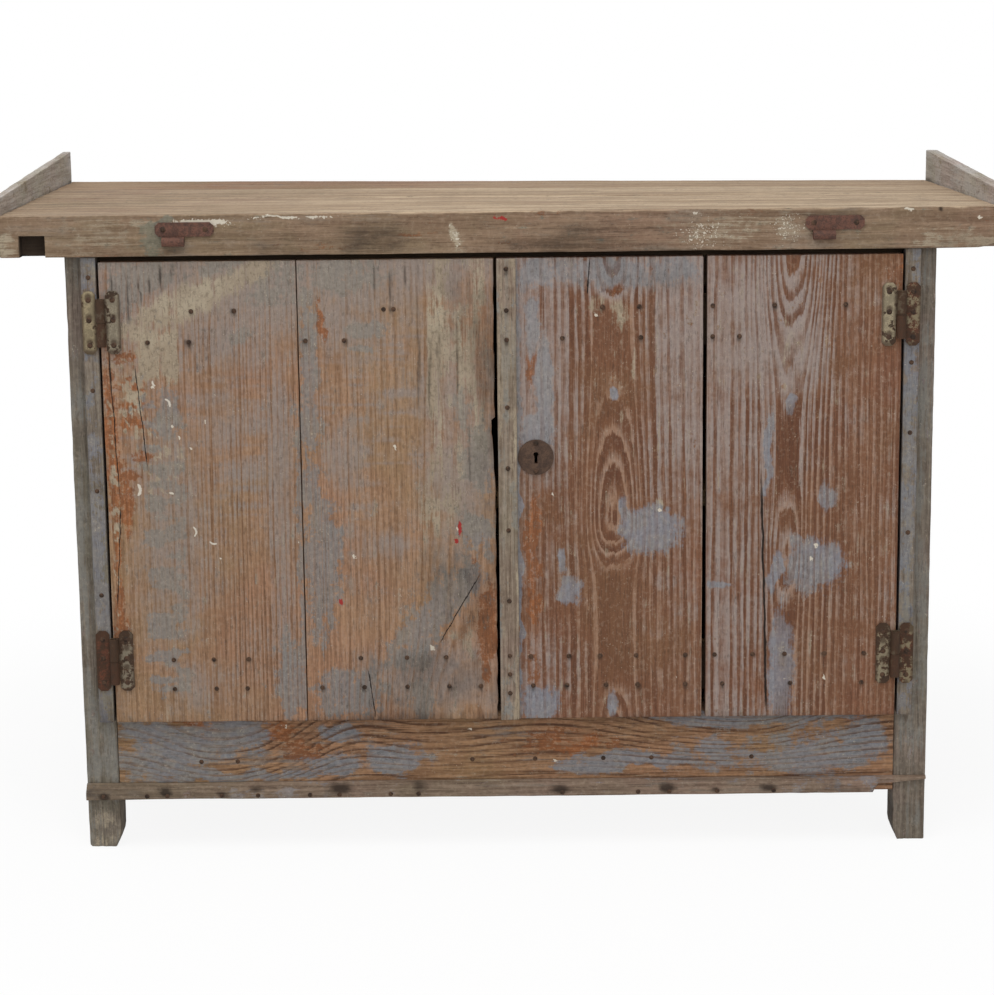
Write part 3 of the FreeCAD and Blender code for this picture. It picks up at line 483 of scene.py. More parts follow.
side_pine = worn_pine("worn_side_pine", 2, ((136, 110, 88), (152, 124, 98)), (96, 70, 50), (126, 120, 112), 0.12)
for side, sign in SIDES:
    for number, heart in ((1, -0.10), (2, 0.16)):
        timber("%s_side_board_%d" % (side, number), "carcass", side_pine, 2, 0, (heart, sign * 0.53), 0.0055,
               step=0.007, coat=flecked, seed=50 + number + 3 * sign, drift=9.0,
               eyes=((0.36, 0.12, 2.5, 0.08), (0.74, 0.10, 1.5, 0.06)))
for number, heart in ((1, 0.21), (2, 0.44), (3, 0.70)):
    timber("back_board_%d" % number, "carcass", dry_pine[0], 0, 1, (heart, 0.24), 0.006, step=0.010, coat=soiled,
           seed=60 + number, drift=5.0, eyes=((-0.25, 0.12, 2.0, 0.09), (0.31, 0.14, 2.5, 0.08)))


# Apron: a board let in flush between the front posts under the doors, with swirling level grain.
# Pine with grey-blue paint left in broad patches, orange-brown where it has gone.
APRON_PAINT = ((-385, 164, 52, 32), (-490, 125, 60, 32), (-240, 118, 44, 18), (-230, 168, 28, 14), (-154, 126, 38, 24),
               (118, 112, 48, 11), (293, 140, 26, 9), (180, 120, 100, 12), (400, 185, 90, 12), (505, 150, 35, 30),
               (440, 125, 80, 25), (-510, 170, 40, 20), (-390, 104, 130, 9), (-450, 145, 60, 30), (300, 181, 100, 12))
APRON_THIN = ((440, 140, 120, 45), (300, 125, 100, 30), (-150, 130, 50, 35))
APRON_BARE = ((-440, 186, 60, 8), (-320, 165, 30, 20), (-280, 140, 30, 18), (496, 181, 22, 6), (80, 148, 70, 18))
APRON_WHITE = ((-311, 176, 4, 3), (72, 121, 3, 2), (-50, 170, 2, 2))


def dabs(flat, patches, soft=1.0, lean=0.0):
    """How far each point lies inside any of the patches, ellipses in millimetres (x, height, half width, half
    height): 1 well inside, a half on the outline, 0 outside."""
    thick = np.zeros(len(flat))
    turn = np.array([[math.cos(lean), math.sin(lean)], [-math.sin(lean), math.cos(lean)]])
    for patch in patches:
        x, height, wide, tall = np.array(patch) / 1000
        away = (flat - (x, height)) @ turn.T / (wide, tall)
        thick = np.maximum(thick, np.clip(0.5 + (1 - np.hypot(*away.T)) / soft, 0, 1))
    return thick


def ragged(points, axes, seed, reach=0.014):
    """The points' places on a face, pushed about by lumps, so that an outline drawn on them comes out torn."""
    push = np.stack([lumps(points, 0.022, seed), lumps(points, 0.022, seed + 1)], axis=1) - 0.5
    fine = np.stack([lumps(points, 0.007, seed + 2), lumps(points, 0.007, seed + 3)], axis=1) - 0.5
    return points[:, axes] + reach * push + 0.35 * reach * fine


def apron_coat(points, out, coats):
    """Patches of paint and of bare wood on the front, grime in slow patches, and painted shadow along the upper edge
    under the doors.
    """
    x, y, z = points.T
    flat = ragged(points, (0, 2), 70)
    front = forward(out)
    paint = np.maximum(dabs(flat, APRON_PAINT), 0.60 * dabs(flat, APRON_THIN))
    coats.paint = np.where(front, paint, 0.2)
    coats.bare = dabs(flat, APRON_BARE) * front * 0.8
    coats.white = dabs(points[:, (0, 2)], APRON_WHITE) * front
    # Grime in slow patches, and painted shadow: darker along the upper edge, under the doors.
    coats.grime = 0.22 * lumps(points, 0.05, 71) + 0.5 * ramp(z, 0.180, 0.02)


apron_pine = worn_pine("apron_pine", 0, ((137, 104, 76), (149, 116, 86)), (82, 55, 38), (118, 108, 100), 0.06,
                       line_depth=1.15, paint=(116, 118, 122), film=0.9, through=0.60, tear=0.6)
timber("front_apron", "carcass", apron_pine, 0, 1, (0.225, -0.245), 0.0100, step=0.004, worn=0.001, coat=apron_coat,
       seed=72, drift=2.5, sway=1.6, eyes=((0.34, (0.11, 0.17), 8.5, 0.078), (-0.40, (0.13, 0.10), 5.0, 0.3),
                                           (-0.22, 0.08, -2.5, 0.3), (0.05, 0.16, -1.5, 0.2)))


# Base strip: a chamfered strip nailed along the apron's foot and across the posts.
# Pine, grey-brown and dented; its right end has split off and left a thin shard against the post.
STRIP_FACE = 0.011
STRIP_LAND = 0.003
BREAK_X = 0.520
SHARD_ROOT = 0.012
SHARD_TIP = 0.005
SHARD_THICK = 0.007
TEAR_LONG = 0.006
TEAR_SWAY = 0.010


def chamfered_strip(points, low, high):
    """The strip's section: full depth up to the face height, then sloping back to the land. Past the break the foot
    of the section is raised and its depth cut to the shard's, with a torn slope between."""
    tall = high[2] - low[2]
    back = high[1]
    height = points[:, 2] - low[2]
    depth = high[1] - low[1]
    slope = np.clip((height - STRIP_FACE) / (tall - STRIP_FACE), 0, 1)
    keep = 1 + (STRIP_LAND / depth - 1) * slope
    torn = TEAR_SWAY * (lumps(points * (0, 1, 1), 0.006, 81) - 0.5)
    past = np.clip((points[:, 0] - BREAK_X - torn) / TEAR_LONG, 0, 1)
    thin = 1 - past * (1 - SHARD_THICK / depth)
    points[:, 1] = back - (back - points[:, 1]) * np.minimum(keep, 1) * thin
    along = np.clip((points[:, 0] - BREAK_X) / (high[0] - BREAK_X), 0, 1)
    left = SHARD_ROOT + (SHARD_TIP - SHARD_ROOT) * along + 0.002 * (lumps(points, 0.012, 82) - 0.5)
    points[:, 2] = high[2] - (high[2] - points[:, 2]) * (1 - past * (1 - left / tall))
    return points


BRUISES = ((-567, 79, 6, 4), (-480, 85, 7, 5), (-402, 82, 10, 5), (-353, 88, 10, 4), (-235, 86, 15, 6),
           (-122, 89, 12, 6), (77, 84, 12, 5), (228, 83, 10, 5), (296, 81, 5, 4), (371, 84, 12, 5))


def strip_coat(points, out, coats):
    """Grime along the strip, with dark bruises where old nails have rotted it."""
    bruises = 0.75 * dabs(ragged(points, (0, 2), 86, 0.004), BRUISES, 1.4)
    coats.grime = 0.40 * lumps(points, (0.05, 0.02, 0.02), 83) ** 2 + 0.10 + bruises
    coats.paint = 0.35 * (lumps(points, (0.12, 0.02, 0.02), 84) > 0.66)


strip_pine = worn_pine("base_strip_pine", 0, ((116, 98, 83), (131, 113, 97)), (80, 63, 49), (116, 106, 95), 0.15,
                       line_depth=0.5)
timber("base_strip", "carcass", strip_pine, 0, 1, (0.16, -0.20), 0.005, step=0.004, worn=0.0014, dent=0.0009,
       shape=chamfered_strip, coat=strip_coat, seed=85,
       cuts=((BREAK_X - 0.002, BREAK_X + 0.002, BREAK_X + 0.006), (), (0.085,)))


# Hinge battens: strips nailed on the front posts, flush with the doors, that carry the hinges.
# Pine with most of its grey-blue paint left, rubbed through along the edges.
def batten_coat(points, out, coats):
    """Paint nearly all over, worn off in a few streaks, with grime in patches and towards the foot."""
    x, y, z = points.T
    coats.paint = 0.25 + 0.75 * lumps(points, (0.02, 0.02, 0.09), 91)
    coats.bare = np.clip(lumps(points, (0.012, 0.012, 0.10), 92) - 0.70, 0, 1) * 2.6
    coats.grime = 0.30 * lumps(points, 0.04, 93) + 0.35 * ramp(z, 0.25, -0.06)
    coats.pale = np.clip(lumps(points, (0.02, 0.02, 0.12), 94) - 0.6, 0, 1) * 1.6


batten_pine = worn_pine("painted_batten_pine", 2, GREY_GREEN, (84, 66, 50), (122, 118, 110), 0.18, line_depth=0.6,
                        paint=(112, 112, 117))
for side, sign in SIDES:
    timber(side + "_hinge_batten", "carcass", batten_pine, 2, 1, (sign * 0.50, -0.20), 0.004, step=0.004, worn=0.0014,
           coat=batten_coat, seed=96 + sign, drift=4.0)


# Floor and shelf: three boards laid on the bearers, two on cleats at mid height, for jars.
# Bare pine; the outer floor boards are cut round the posts.
POSTS = ("left_front_post", "right_front_post", "left_rear_post", "right_rear_post")
POST_ROOM = 0.001


def round_posts(x, y, z):
    """The cells of a floor board that the posts stand in, with a little room."""
    taken = np.zeros(x.shape, bool)
    for post in POSTS:
        low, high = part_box(post)
        taken |= ((x > low[0] - POST_ROOM) & (x < high[0] + POST_ROOM)
                  & (y > low[1] - POST_ROOM) & (y < high[1] + POST_ROOM))
    return taken


post_lines = tuple([side + room for post in POSTS for side, room in
                    ((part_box(post)[0][axis], -POST_ROOM), (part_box(post)[1][axis], POST_ROOM))] for axis in range(2))
for number, heart in ((1, -0.15), (2, 0.02), (3, 0.19)):
    low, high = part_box("floor_board_%d" % number)
    inside = [[v for v in post_lines[axis] if low[axis] < v < high[axis]] for axis in range(2)]
    timber("floor_board_%d" % number, "carcass", dry_pine[0], 0, 2, (heart, 0.10), 0.006, step=0.010, gone=round_posts,
           cuts=(inside[0], inside[1], ()), coat=soiled, seed=100 + number, drift=4.0, eyes=((0.2, 0.15, 2.0, 0.07),))
for number, heart in ((1, -0.11), (2, 0.16)):
    timber("shelf_board_%d" % number, "carcass", dry_pine[0], 0, 2, (heart, 0.44), 0.006, step=0.010, coat=soiled,
           seed=110 + number, drift=4.0, eyes=((-0.2, 0.2, 2.5, 0.08),))
for side, sign in SIDES:
    timber(side + "_shelf_cleat", "carcass", dry_pine[1], 1, 0, (0.40, sign * 0.48), 0.005, coat=soiled,
           seed=115 + sign)


# Top: three thick planks side by side that overhang the body at both ends.
# Scrubbed pale pine above; the front edge is brown and greyed, splashed with old paint, with a notch cut for a batten
# at its left end and a splinter gone from its right corner.
NOTCH_LEFT = -0.6495
NOTCH_RIGHT = -0.614
NOTCH_TOP = 0.873
NOTCH_BACK = -0.2666
NOTCH_LIP = -0.290
NOTCH_NEAR = 0.001
CHIP = (0.649, 0.850)
CHIP_DEEP = 0.014
CHIP_FADE = 0.02
EDGE_WHITE = ((-400, 889, 42, 3), (-430, 884, 14, 3), (-69, 886, 4, 3), (-280, 895.5, 60, 1.2), (262, 893, 5, 3),
              (282, 893, 3, 4), (330, 892, 3, 3), (609, 882, 2, 5), (647, 885, 2, 2), (549, 896, 6, 1.5))
EDGE_FLAKED = ((271, 866, 38, 24), (390, 874, 24, 22), (-400, 888, 55, 6))
EDGE_HAZE = ((-545, 868, 60, 30), (300, 870, 60, 26), (390, 872, 34, 24))
DRIP = ((-62, 870, 5.5, 22),)
DRIP_LEAN = 0.35
EDGE_DULL = ((90, 868, 110, 30), (-200, 866, 140, 20), (-645, 886, 3, 2), (-632, 881.5, 4, 3))
EDGE_HOLES = ((592, 894.5, 3, 3),)
EDGE_PALE = ((625, 842, 72, 24), (-664, 862, 10, 20), (-470, 888, 30, 6))
EDGE_GREEN = ((-466, 868, 22, 26), (-452, 885, 12, 12))
EDGE_RED = ((-4, 891, 6, 3), (6, 888, 3, 3))


def notched(x, y, z):
    """The cells that the notch takes from the plank's lower front edge."""
    return (x > NOTCH_LEFT) & (x < NOTCH_RIGHT) & (y < NOTCH_BACK) & (z < NOTCH_TOP)


TWIST = 0.006
DRAWN = 0.006
DRAWN_REACH = 0.017


def twisted(points, low, high):
    """The top has warped: its upper side rises towards the rear left corner and sinks towards the rear right by a
    share of the depth, the length and the height over its underside. The joint with the left end board lies a
    little further out, and points near it are drawn along."""
    corner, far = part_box("front_top_plank")
    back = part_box("rear_top_plank")[1][1]
    deep = np.clip((points[:, 1] - corner[1]) / (back - corner[1]), 0, 1)
    height = np.clip((points[:, 2] - corner[2]) / (far[2] - corner[2]), 0, 1)
    points[:, 2] -= TWIST * points[:, 0] / far[0] * deep * height
    points[:, 0] -= DRAWN * np.clip(1 - np.abs(points[:, 0] - corner[0]) / DRAWN_REACH, 0, 1)
    return points


def chipped(points, low, high):
    """The right lower front corner split away: points past the chip's slope move up to it, less and less inwards."""
    share = np.clip((points[:, 0] - CHIP[0]) / (high[0] - CHIP[0]), 0, 1)
    near = np.clip(1 - (points[:, 1] - low[1]) / CHIP_DEEP, 0, 1)
    lift = (CHIP[1] - low[2]) * share * (near > 0) * (0.6 + 0.8 * lumps(points, 0.006, 121))
    fade = np.clip(1 - (points[:, 2] - low[2]) / CHIP_FADE, 0, 1)
    points[:, 2] += lift * fade
    return twisted(points, low, high)


def scrubbed(points, out):
    """How far the upper face is scrubbed pale, less towards the left end."""
    x, y, z = points.T
    return np.clip(out[:, 2] * 1.4, 0, 1) * (1 - 0.42 * ramp(x, -0.15, -0.35))


def edge_coat(points, out, coats):
    """Splashes, a drip and pale haze on the front edge, painted shade inside the notch, and a rubbed pale upper face.
    """
    x, y, z = points.T
    front = forward(out)
    flat = ragged(points, (0, 2), 122, 0.006)
    drip = dabs(flat, DRIP, lean=DRIP_LEAN)
    splash = np.maximum(dabs(flat, EDGE_FLAKED, 1.4) * 0.44, drip * 0.46)
    coats.white = np.maximum(dabs(flat, EDGE_WHITE), splash) * front
    coats.red = dabs(flat, EDGE_RED) * front
    coats.paint = dabs(flat, EDGE_GREEN) * front
    pale = np.maximum(dabs(flat, EDGE_PALE, 0.5) * 0.7, 0.5 * dabs(flat, EDGE_HAZE, 1.4))
    coats.pale = np.maximum(pale, drip) * front
    holes = 0.9 * dabs(flat, EDGE_HOLES) + 0.22 * dabs(flat, EDGE_DULL, 1.5)
    coats.grime = np.where(front, 0.42 * lumps(points, (0.07, 0.03, 0.02), 124) ** 1.3 + holes, 0.05)
    coats.bare = np.clip(lumps(points, (0.06, 0.03, 0.014), 129) - 0.62, 0, 1) * 1.3 * front
    # Painted shade: the inside of the notch, behind its lip, is made nearly fully dark.
    inside = (x > NOTCH_LEFT - NOTCH_NEAR) & (x < NOTCH_RIGHT + NOTCH_NEAR) & (z < NOTCH_TOP + NOTCH_NEAR)
    coats.grime = np.where(inside & (y > NOTCH_LIP), 0.9, coats.grime)
    coats.veil = scrubbed(points, out)


BROWN_LEFT = -0.60
BROWN_RIGHT = 0.10


def part_rubbed(points, out, coats):
    """The rear plank: brown over its left half, rubbed pale to the right."""
    x, y, z = points.T
    rubbed(points, out, coats)
    brown = ramp(x, BROWN_LEFT, 0.15) * ramp(x, BROWN_RIGHT, -0.35)
    coats.veil *= 1 - brown


def rubbed(points, out, coats):
    """A rubbed pale upper face."""
    coats.grime = 0.06 + 0.1 * lumps(points, (0.2, 0.03, 0.03), 125)
    coats.veil = scrubbed(points, out)


top_front_pine = worn_pine("scrubbed_top_pine", 0, ((122, 100, 80), (134, 112, 92)), (96, 74, 56), (132, 116, 100),
                           0.10, line_depth=0.6, paint=(110, 109, 99), scrub=((170, 147, 121), (203, 181, 153)))
top_rear_pine = worn_pine("brown_top_pine", 0, ((140, 112, 88), (152, 124, 98)), (112, 82, 60), (146, 128, 108), 0.02,
                          line_depth=0.6, scrub=((160, 138, 112), (186, 164, 138)))
timber("front_top_plank", "carcass", top_front_pine, 0, 2, (-0.10, 0.80), 0.0090, step=0.005, worn=0.0018, dent=0.0012,
       gone=notched, cuts=((NOTCH_LEFT, NOTCH_RIGHT), (NOTCH_BACK,), (NOTCH_TOP,)), shape=chipped, coat=edge_coat,
       seed=126, drift=1.5)
timber("middle_top_plank", "carcass", top_front_pine, 0, 2, (0.10, 0.78), 0.0140, step=0.007, worn=0.0014, coat=rubbed,
       shape=twisted, seed=127, drift=1.5)
timber("rear_top_plank", "carcass", top_rear_pine, 0, 2, (0.26, 0.80), 0.0140, step=0.007, worn=0.0018,
       coat=part_rubbed, shape=twisted, seed=128, drift=1.5)


# End boards: tapered boards nailed on the ends of the top, higher at the back, that keep things from rolling off.
# Pine weathered to grey, with rounded upper edges.
END_FRONT_RISE = 0.021
END_BACK_RISE = 0.047


def tapered(points, low, high):
    """The board's height falls in a straight line from its back to its front edge."""
    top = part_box("front_top_plank")[1][2]
    share = (points[:, 1] - low[1]) / (high[1] - low[1])
    height = top + END_FRONT_RISE + (END_BACK_RISE - END_FRONT_RISE) * share - low[2]
    points[:, 2] = low[2] + (points[:, 2] - low[2]) * height / (high[2] - low[2])
    return twisted(points, low, high)


def end_coat(points, out, coats):
    """Pale and dark weather stains, and painted shade along the corner with the top."""
    x, y, z = points.T
    coats.pale = np.clip(lumps(points, (0.02, 0.05, 0.03), 131) - 0.5, 0, 1) * 1.4
    # Painted shade: a dark line along the board's foot, where it meets the top.
    foot = 0.7 * np.clip(1 - np.abs(z - 0.900) / 0.006, 0, 1)
    coats.grime = 0.30 * lumps(points, (0.02, 0.05, 0.04), 132) + foot


end_pine = worn_pine("grey_end_pine", 1, ((169, 158, 148), (185, 175, 166)), (132, 118, 106), (181, 175, 169), 0.3,
                     line_depth=0.5)
for side, sign in SIDES:
    timber(side + "_end_board", "carcass", end_pine, 1, 0, (0.80, sign * 0.62), 0.006, step=0.006, worn=0.0010,
           dent=0.0004, shape=tapered, coat=end_coat, seed=133 + sign)


# Left door: two wide boards nailed to two ledges behind them.
# Pine with fine upright grain, its grey-blue paint scrubbed to bands at the left and to a veil elsewhere; a split has
# laid bare orange wood along the hinge edge and by the meeting edge, where a splinter is gone.
NAIL_CELL = 0.008
STAIN_REACH = 0.0034


def nail_spots(node, front):
    """The middles of the nail heads on a face: the CAD heads' corners in front of a depth, one of each cell."""
    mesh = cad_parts[node].data
    corners = np.empty(len(mesh.vertices) * 3, np.float32)
    mesh.vertices.foreach_get("co", corners)
    corners = corners.reshape(-1, 3)
    heads = corners[corners[:, 1] < front][:, (0, 2)]
    owner = np.unique(np.round(heads / NAIL_CELL), axis=0, return_inverse=True)[1].ravel()
    total = np.bincount(owner)
    return np.stack([np.bincount(owner, heads[:, axis]) / total for axis in range(2)], axis=1)


def nail_stain(points, spots):
    """Dark rust round each nail, fading over some millimetres and drawn downwards."""
    stain = np.zeros(len(points))
    for x, z in spots:
        aside = points[:, 0] - x
        below = points[:, 2] - z
        below = np.where(below < 0, below * 0.45, below)
        stain = np.maximum(stain, 0.6 * np.exp(-((aside ** 2 + below ** 2) / STAIN_REACH ** 2)))
    return stain


def foot_dirt(z):
    """Dirt on the lowest 15 mm of a door."""
    return 0.4 * ramp(z, 0.205, -0.02)


def bell(value, middle, half):
    """A bell curve: 1 at the middle, about a third at the half width."""
    return np.exp(-((value - middle) / half) ** 2)


DOOR_SKIN = -0.2865
left_nails = nail_spots("left_door_nails", DOOR_SKIN)
VEIL_EDGE = -0.290
LADDER = (-0.502, -0.432, 0.215, 0.672)
OUTER_PAINT = ((-490, 800, 60, 42), (-350, 822, 80, 22), (-315, 790, 34, 14), (-352, 735, 16, 10), (-300, 250, 20, 60),
               (-456, 622, 20, 40))
OUTER_VEIL = ((-405, 645, 45, 16), (-345, 610, 40, 20), (-350, 545, 40, 16), (-380, 600, 30, 30), (-350, 725, 60, 50),
              (-455, 450, 50, 200), (-430, 240, 50, 50), (-305, 500, 20, 250))
OUTER_BARE = ((-534, 580, 12, 150), (-533, 400, 8, 120), (-512, 705, 20, 9), (-508, 668, 22, 13), (-503, 640, 22, 8),
              (-509, 612, 22, 11), (-495, 568, 20, 10), (-522, 500, 10, 50), (-515, 540, 18, 7))
OUTER_FLECKED = ((-512, 660, 24, 90), (-534, 520, 6, 200), (-470, 570, 30, 60))
OUTER_PALE = ((-508, 740, 20, 12), (-503, 653, 10, 8))
OUTER_LIMED = (-0.498, -0.4385, 0.662, 0.758)
STROKE = ((-405, 789, 105, 19), (-445, 775, 60, 24), (-345, 816, 50, 15))
STROKE_LEAN = 0.42
OUTER_WHITE = ((-477, 665, 2, 4), (-451, 611, 2, 3), (-442, 594, 2, 3), (-428, 579, 1, 3), (-456, 516, 2, 2),
               (-407, 616, 1, 3), (-392, 425, 1, 2), (-282, 446, 1, 4))
OUTER_FLICKS = (((-0.4725, 0.671), 0.004, 0.0018, 3.6), ((-0.461, 0.6405), 0.007, 0.0018, 0.5),
                ((-0.5075, 0.522), 0.0085, 0.0026, 0.0), ((-0.432, 0.462), 0.008, 0.0016, 0.1),
                ((-0.400, 0.450), 0.005, 0.0018, 4.4))
OUTER_STREAKS = ((-388, 370, 2.2, 130), (-374, 360, 2, 120), (-398, 400, 2, 100), (-363, 340, 2, 80),
                 (-330, 420, 2, 100))
OUTER_CRACKS = ((-505, 782, 1.6, 34), (-489, 793, 1.4, 18), (-476, 802, 1.4, 14), (-446, 820, 1.4, 14),
                (-462, 812, 1.4, 16), (-528, 800, 1.6, 26))


def saw_traces(points, seed):
    """Level traces of the saw across the boards' upper half: narrow lying lumps above a threshold, 0 to 1."""
    x, y, z = points.T
    trace = np.clip((lumps(points, (0.050, 0.1, 0.0055), seed) - 0.56) * 5.0, 0, 1)
    return trace * ramp(z, 0.40, 0.12) * ramp(z, 0.790, -0.04)


def outer_left_coat(points, out, coats):
    """Rungs of paint between the hinges, a pale brush stroke across the top, orange bare wood along the hinge edge."""
    x, y, z = points.T
    front = forward(out)
    flat = ragged(points, (0, 2), 140)
    near = points[:, (0, 2)]
    fine = ragged(points, (0, 2), 146, 0.004)
    rungs = lumps(points, (0.055, 0.1, 0.012), 141) * 0.6 + lumps(points, (0.02, 0.1, 0.007), 142) * 0.4
    band = (ramp(flat[:, 0], LADDER[0], 0.012) * ramp(fine[:, 0], LADDER[1], -0.010)
            * ramp(flat[:, 1], LADDER[2], 0.03) * ramp(flat[:, 1], LADDER[3], -0.03))
    limed = (ramp(fine[:, 0], OUTER_LIMED[0], 0.006) * ramp(fine[:, 0], OUTER_LIMED[1], -0.005)
             * ramp(flat[:, 1], OUTER_LIMED[2], 0.03) * ramp(flat[:, 1], OUTER_LIMED[3], -0.02))
    limed = np.maximum(1.15 * limed, 1.05 * dabs(fine, STROKE, lean=STROKE_LEAN))
    veil = ramp(flat[:, 0], VEIL_EDGE, 0.008) * ramp(flat[:, 1], 0.70, -0.1)
    paint = np.maximum(band * np.clip((rungs - 0.44) * 6.5, 0, 1), dabs(flat, OUTER_PAINT))
    coats.paint = np.maximum(paint * np.clip(1 - limed, 0, 1), veil * 0.8) * front
    coats.bare = 0.88 * dabs(flat, OUTER_BARE) * front
    flecks = 0.8 * dabs(flat, OUTER_FLECKED) * (lumps(points, 0.0055, 145) > 0.58)
    coats.pale = np.maximum(np.maximum(dabs(flat, OUTER_PALE), flecks), limed) * front
    head = 0.9 * ramp(flat[:, 1], 0.655, 0.13)
    veil = np.maximum(np.maximum(0.75 * dabs(flat, OUTER_VEIL), head), 0.42 * band)
    coats.veil = np.maximum(veil, 0.62 * saw_traces(points, 148)) * front
    coats.white = dabs(near, OUTER_WHITE, 0.8) * front
    coats.grime = (0.16 * lumps(points, 0.06, 143) + nail_stain(points, left_nails)
                   + 0.3 * dabs(fine, OUTER_STREAKS) + 0.55 * dabs(fine, OUTER_CRACKS)
                   + 0.30 * lumps(points, (0.016, 0.1, 0.05), 147) ** 2 * ramp(z, 0.775, 0.03)
                   + foot_dirt(z))
    bold = bell(x, -0.368, 0.055) * ramp(z, 0.60, -0.15)
    coats.warm = np.where(front, 0.1 + 0.85 * bold, 0.0)


INNER_PAINT = ((-215, 815, 62, 22), (-262, 640, 13, 180), (-250, 420, 26, 110), (-215, 225, 50, 40), (-30, 560, 24, 55),
               (-55, 625, 13, 30), (-38, 455, 26, 30), (-185, 740, 30, 8), (-190, 713, 20, 6), (-115, 220, 18, 30),
               (-150, 280, 20, 20))
INNER_VEIL = ((-210, 760, 60, 60), (-140, 800, 60, 30), (-220, 560, 30, 50), (-60, 600, 50, 160), (-100, 250, 100, 50),
              (-160, 440, 30, 15))
DIAGONAL = ((-90, 352, 100, 30), (-125, 300, 45, 28))
DIAGONAL_LEAN = 0.86
INNER_BARE = ((-21, 325, 15, 66), (-40, 405, 10, 22), (-26, 258, 6, 30), (-244.5, 755, 4, 30))
INNER_PALE = ((-85, 490, 30, 40), (-72, 310, 12, 8), (-50, 300, 8, 20))
INNER_LIMED = (-0.105, -0.013, 0.500)
INNER_DULL = ((-120, 245, 150, 70), (-60, 360, 70, 100), (-22, 620, 20, 200), (-50, 760, 50, 70))
INNER_WHITE = ((-148, 578, 2, 4), (-206, 425, 3, 3), (-100, 293, 4, 3), (-62, 462, 2, 3))
INNER_RED = ((-60, 463, 3, 11), (-226, 361, 3, 5), (-65, 445, 4, 3))
INNER_STREAKS = ((-113, 700, 2.8, 120), (-98, 660, 2.4, 100), (-85, 720, 2, 60), (-60, 700, 2, 80),
                 (-150, 800, 2.4, 30), (-170, 810, 2, 25), (-45, 580, 2, 50), (-130, 815, 2, 20))


def inner_left_coat(points, out, coats):
    """Paint down the seam, at the head and foot and in a slanting patch, a pale weathered meeting side."""
    x, y, z = points.T
    front = forward(out)
    flat = ragged(points, (0, 2), 150)
    near = points[:, (0, 2)]
    slant = dabs(flat, DIAGONAL, lean=DIAGONAL_LEAN)
    coats.paint = np.maximum(dabs(flat, INNER_PAINT), slant) * front
    coats.bare = dabs(flat, INNER_BARE) * front
    fine = ragged(points, (0, 2), 154, 0.004)
    limed = (ramp(fine[:, 0], INNER_LIMED[0], 0.005) * ramp(fine[:, 0], INNER_LIMED[1], -0.010)
             * ramp(flat[:, 1], INNER_LIMED[2], 0.06) * (0.28 + 0.65 * lumps(points, (0.014, 0.1, 0.06), 155)))
    coats.pale = np.maximum(dabs(flat, INNER_PALE) * 0.7, limed) * front
    head = 0.9 * ramp(flat[:, 1], 0.690, 0.13)
    veil = np.maximum(0.75 * dabs(flat, INNER_VEIL), head)
    coats.veil = np.maximum(veil, 0.62 * saw_traces(points, 158)) * front
    coats.white = dabs(near, INNER_WHITE, 0.8) * front
    coats.red = dabs(near, INNER_RED, 0.8) * front
    soil = np.maximum(0.28 * dabs(flat, INNER_DULL), 0.28 * dabs(flat, INNER_BARE[:3]))
    soil = np.maximum(soil, 0.5 * dabs(fine, INNER_STREAKS))
    coats.grime = (0.16 * lumps(points, 0.06, 151) + np.maximum(nail_stain(points, left_nails), soil)
                   + foot_dirt(z))


CHUNK_LOW = 0.520
CHUNK_HIGH = 0.618
CHUNK_DEEP = 0.0055
NIBBLE_DEEP = 0.0022
CHEWED_REACH = 0.016


def chewed_edge(points, low, high):
    """The meeting edge with a splinter gone: the edge moves in by a depth that grows from the foot of the splinter to
    its head, and is nibbled elsewhere."""
    rise = np.clip((points[:, 2] - CHUNK_LOW) / (CHUNK_HIGH - CHUNK_LOW), 0, 1) * (points[:, 2] < CHUNK_HIGH)
    bite = CHUNK_DEEP * rise + NIBBLE_DEEP * lumps(points * (0, 0.2, 1), 0.013, 152) ** 2
    points[:, 0] -= bite * np.clip(1 - (high[0] - points[:, 0]) / CHEWED_REACH, 0, 1)
    return points


TAN = ((142, 110, 84), (154, 121, 94))


def dusty_and_shaded_ledge(points, out, coats):
    """Painted shade on the face that looks forward, years of dust and handling on the rest of a ledge."""
    # The forward face is made fully dark here: painted shade.
    soiled_and_shaded_front(points, out, coats)
    coats.grime = np.maximum(coats.grime, 0.36 + 0.18 * lumps(points, (0.06, 0.05, 0.02), 157))


left_pine = worn_pine("tan_door_pine", 2, TAN, (108, 78, 56), (134, 120, 108), 0.02, line_depth=0.75,
                      hollow=((146, 124, 106), (132, 122, 116)), hollow_share=-0.6,
                      paint=(118, 116, 114), film=0.78, through=0.5, flicks=OUTER_FLICKS,
                      splits=(((-0.5345, 0.715), (-0.5265, 0.500), 0.0011),
                              ((-0.5265, 0.500), (-0.5365, 0.350), 0.0010), ((-0.500, 0.695), (-0.487, 0.545), 0.0010),
                              ((-0.181, 0.193), (-0.191, 0.266), 0.0010), ((-0.090, 0.300), (-0.031, 0.401), 0.0012)))
timber("left_door_outer_board", "left_door", left_pine, 2, 1, (-0.62, -0.20), 0.0062, step=0.003, worn=0.0012,
       coat=outer_left_coat, seed=144, drift=-2.0, sway=1.0)
timber("left_door_inner_board", "left_door", left_pine, 2, 1, (-0.03, -0.16), 0.0060, step=0.003, worn=0.0012,
       coat=inner_left_coat, shape=chewed_edge, seed=153, drift=1.5, sway=1.2, eyes=((0.18, 0.10, 3.0, 0.15),))
for end, heart in (("upper", 0.66), ("lower", 0.34)):
    timber("left_door_%s_ledge" % end, "left_door", dry_pine[0], 0, 1, (heart, -0.22), 0.005, step=0.008, coat=dusty_and_shaded_ledge,
           seed=156)


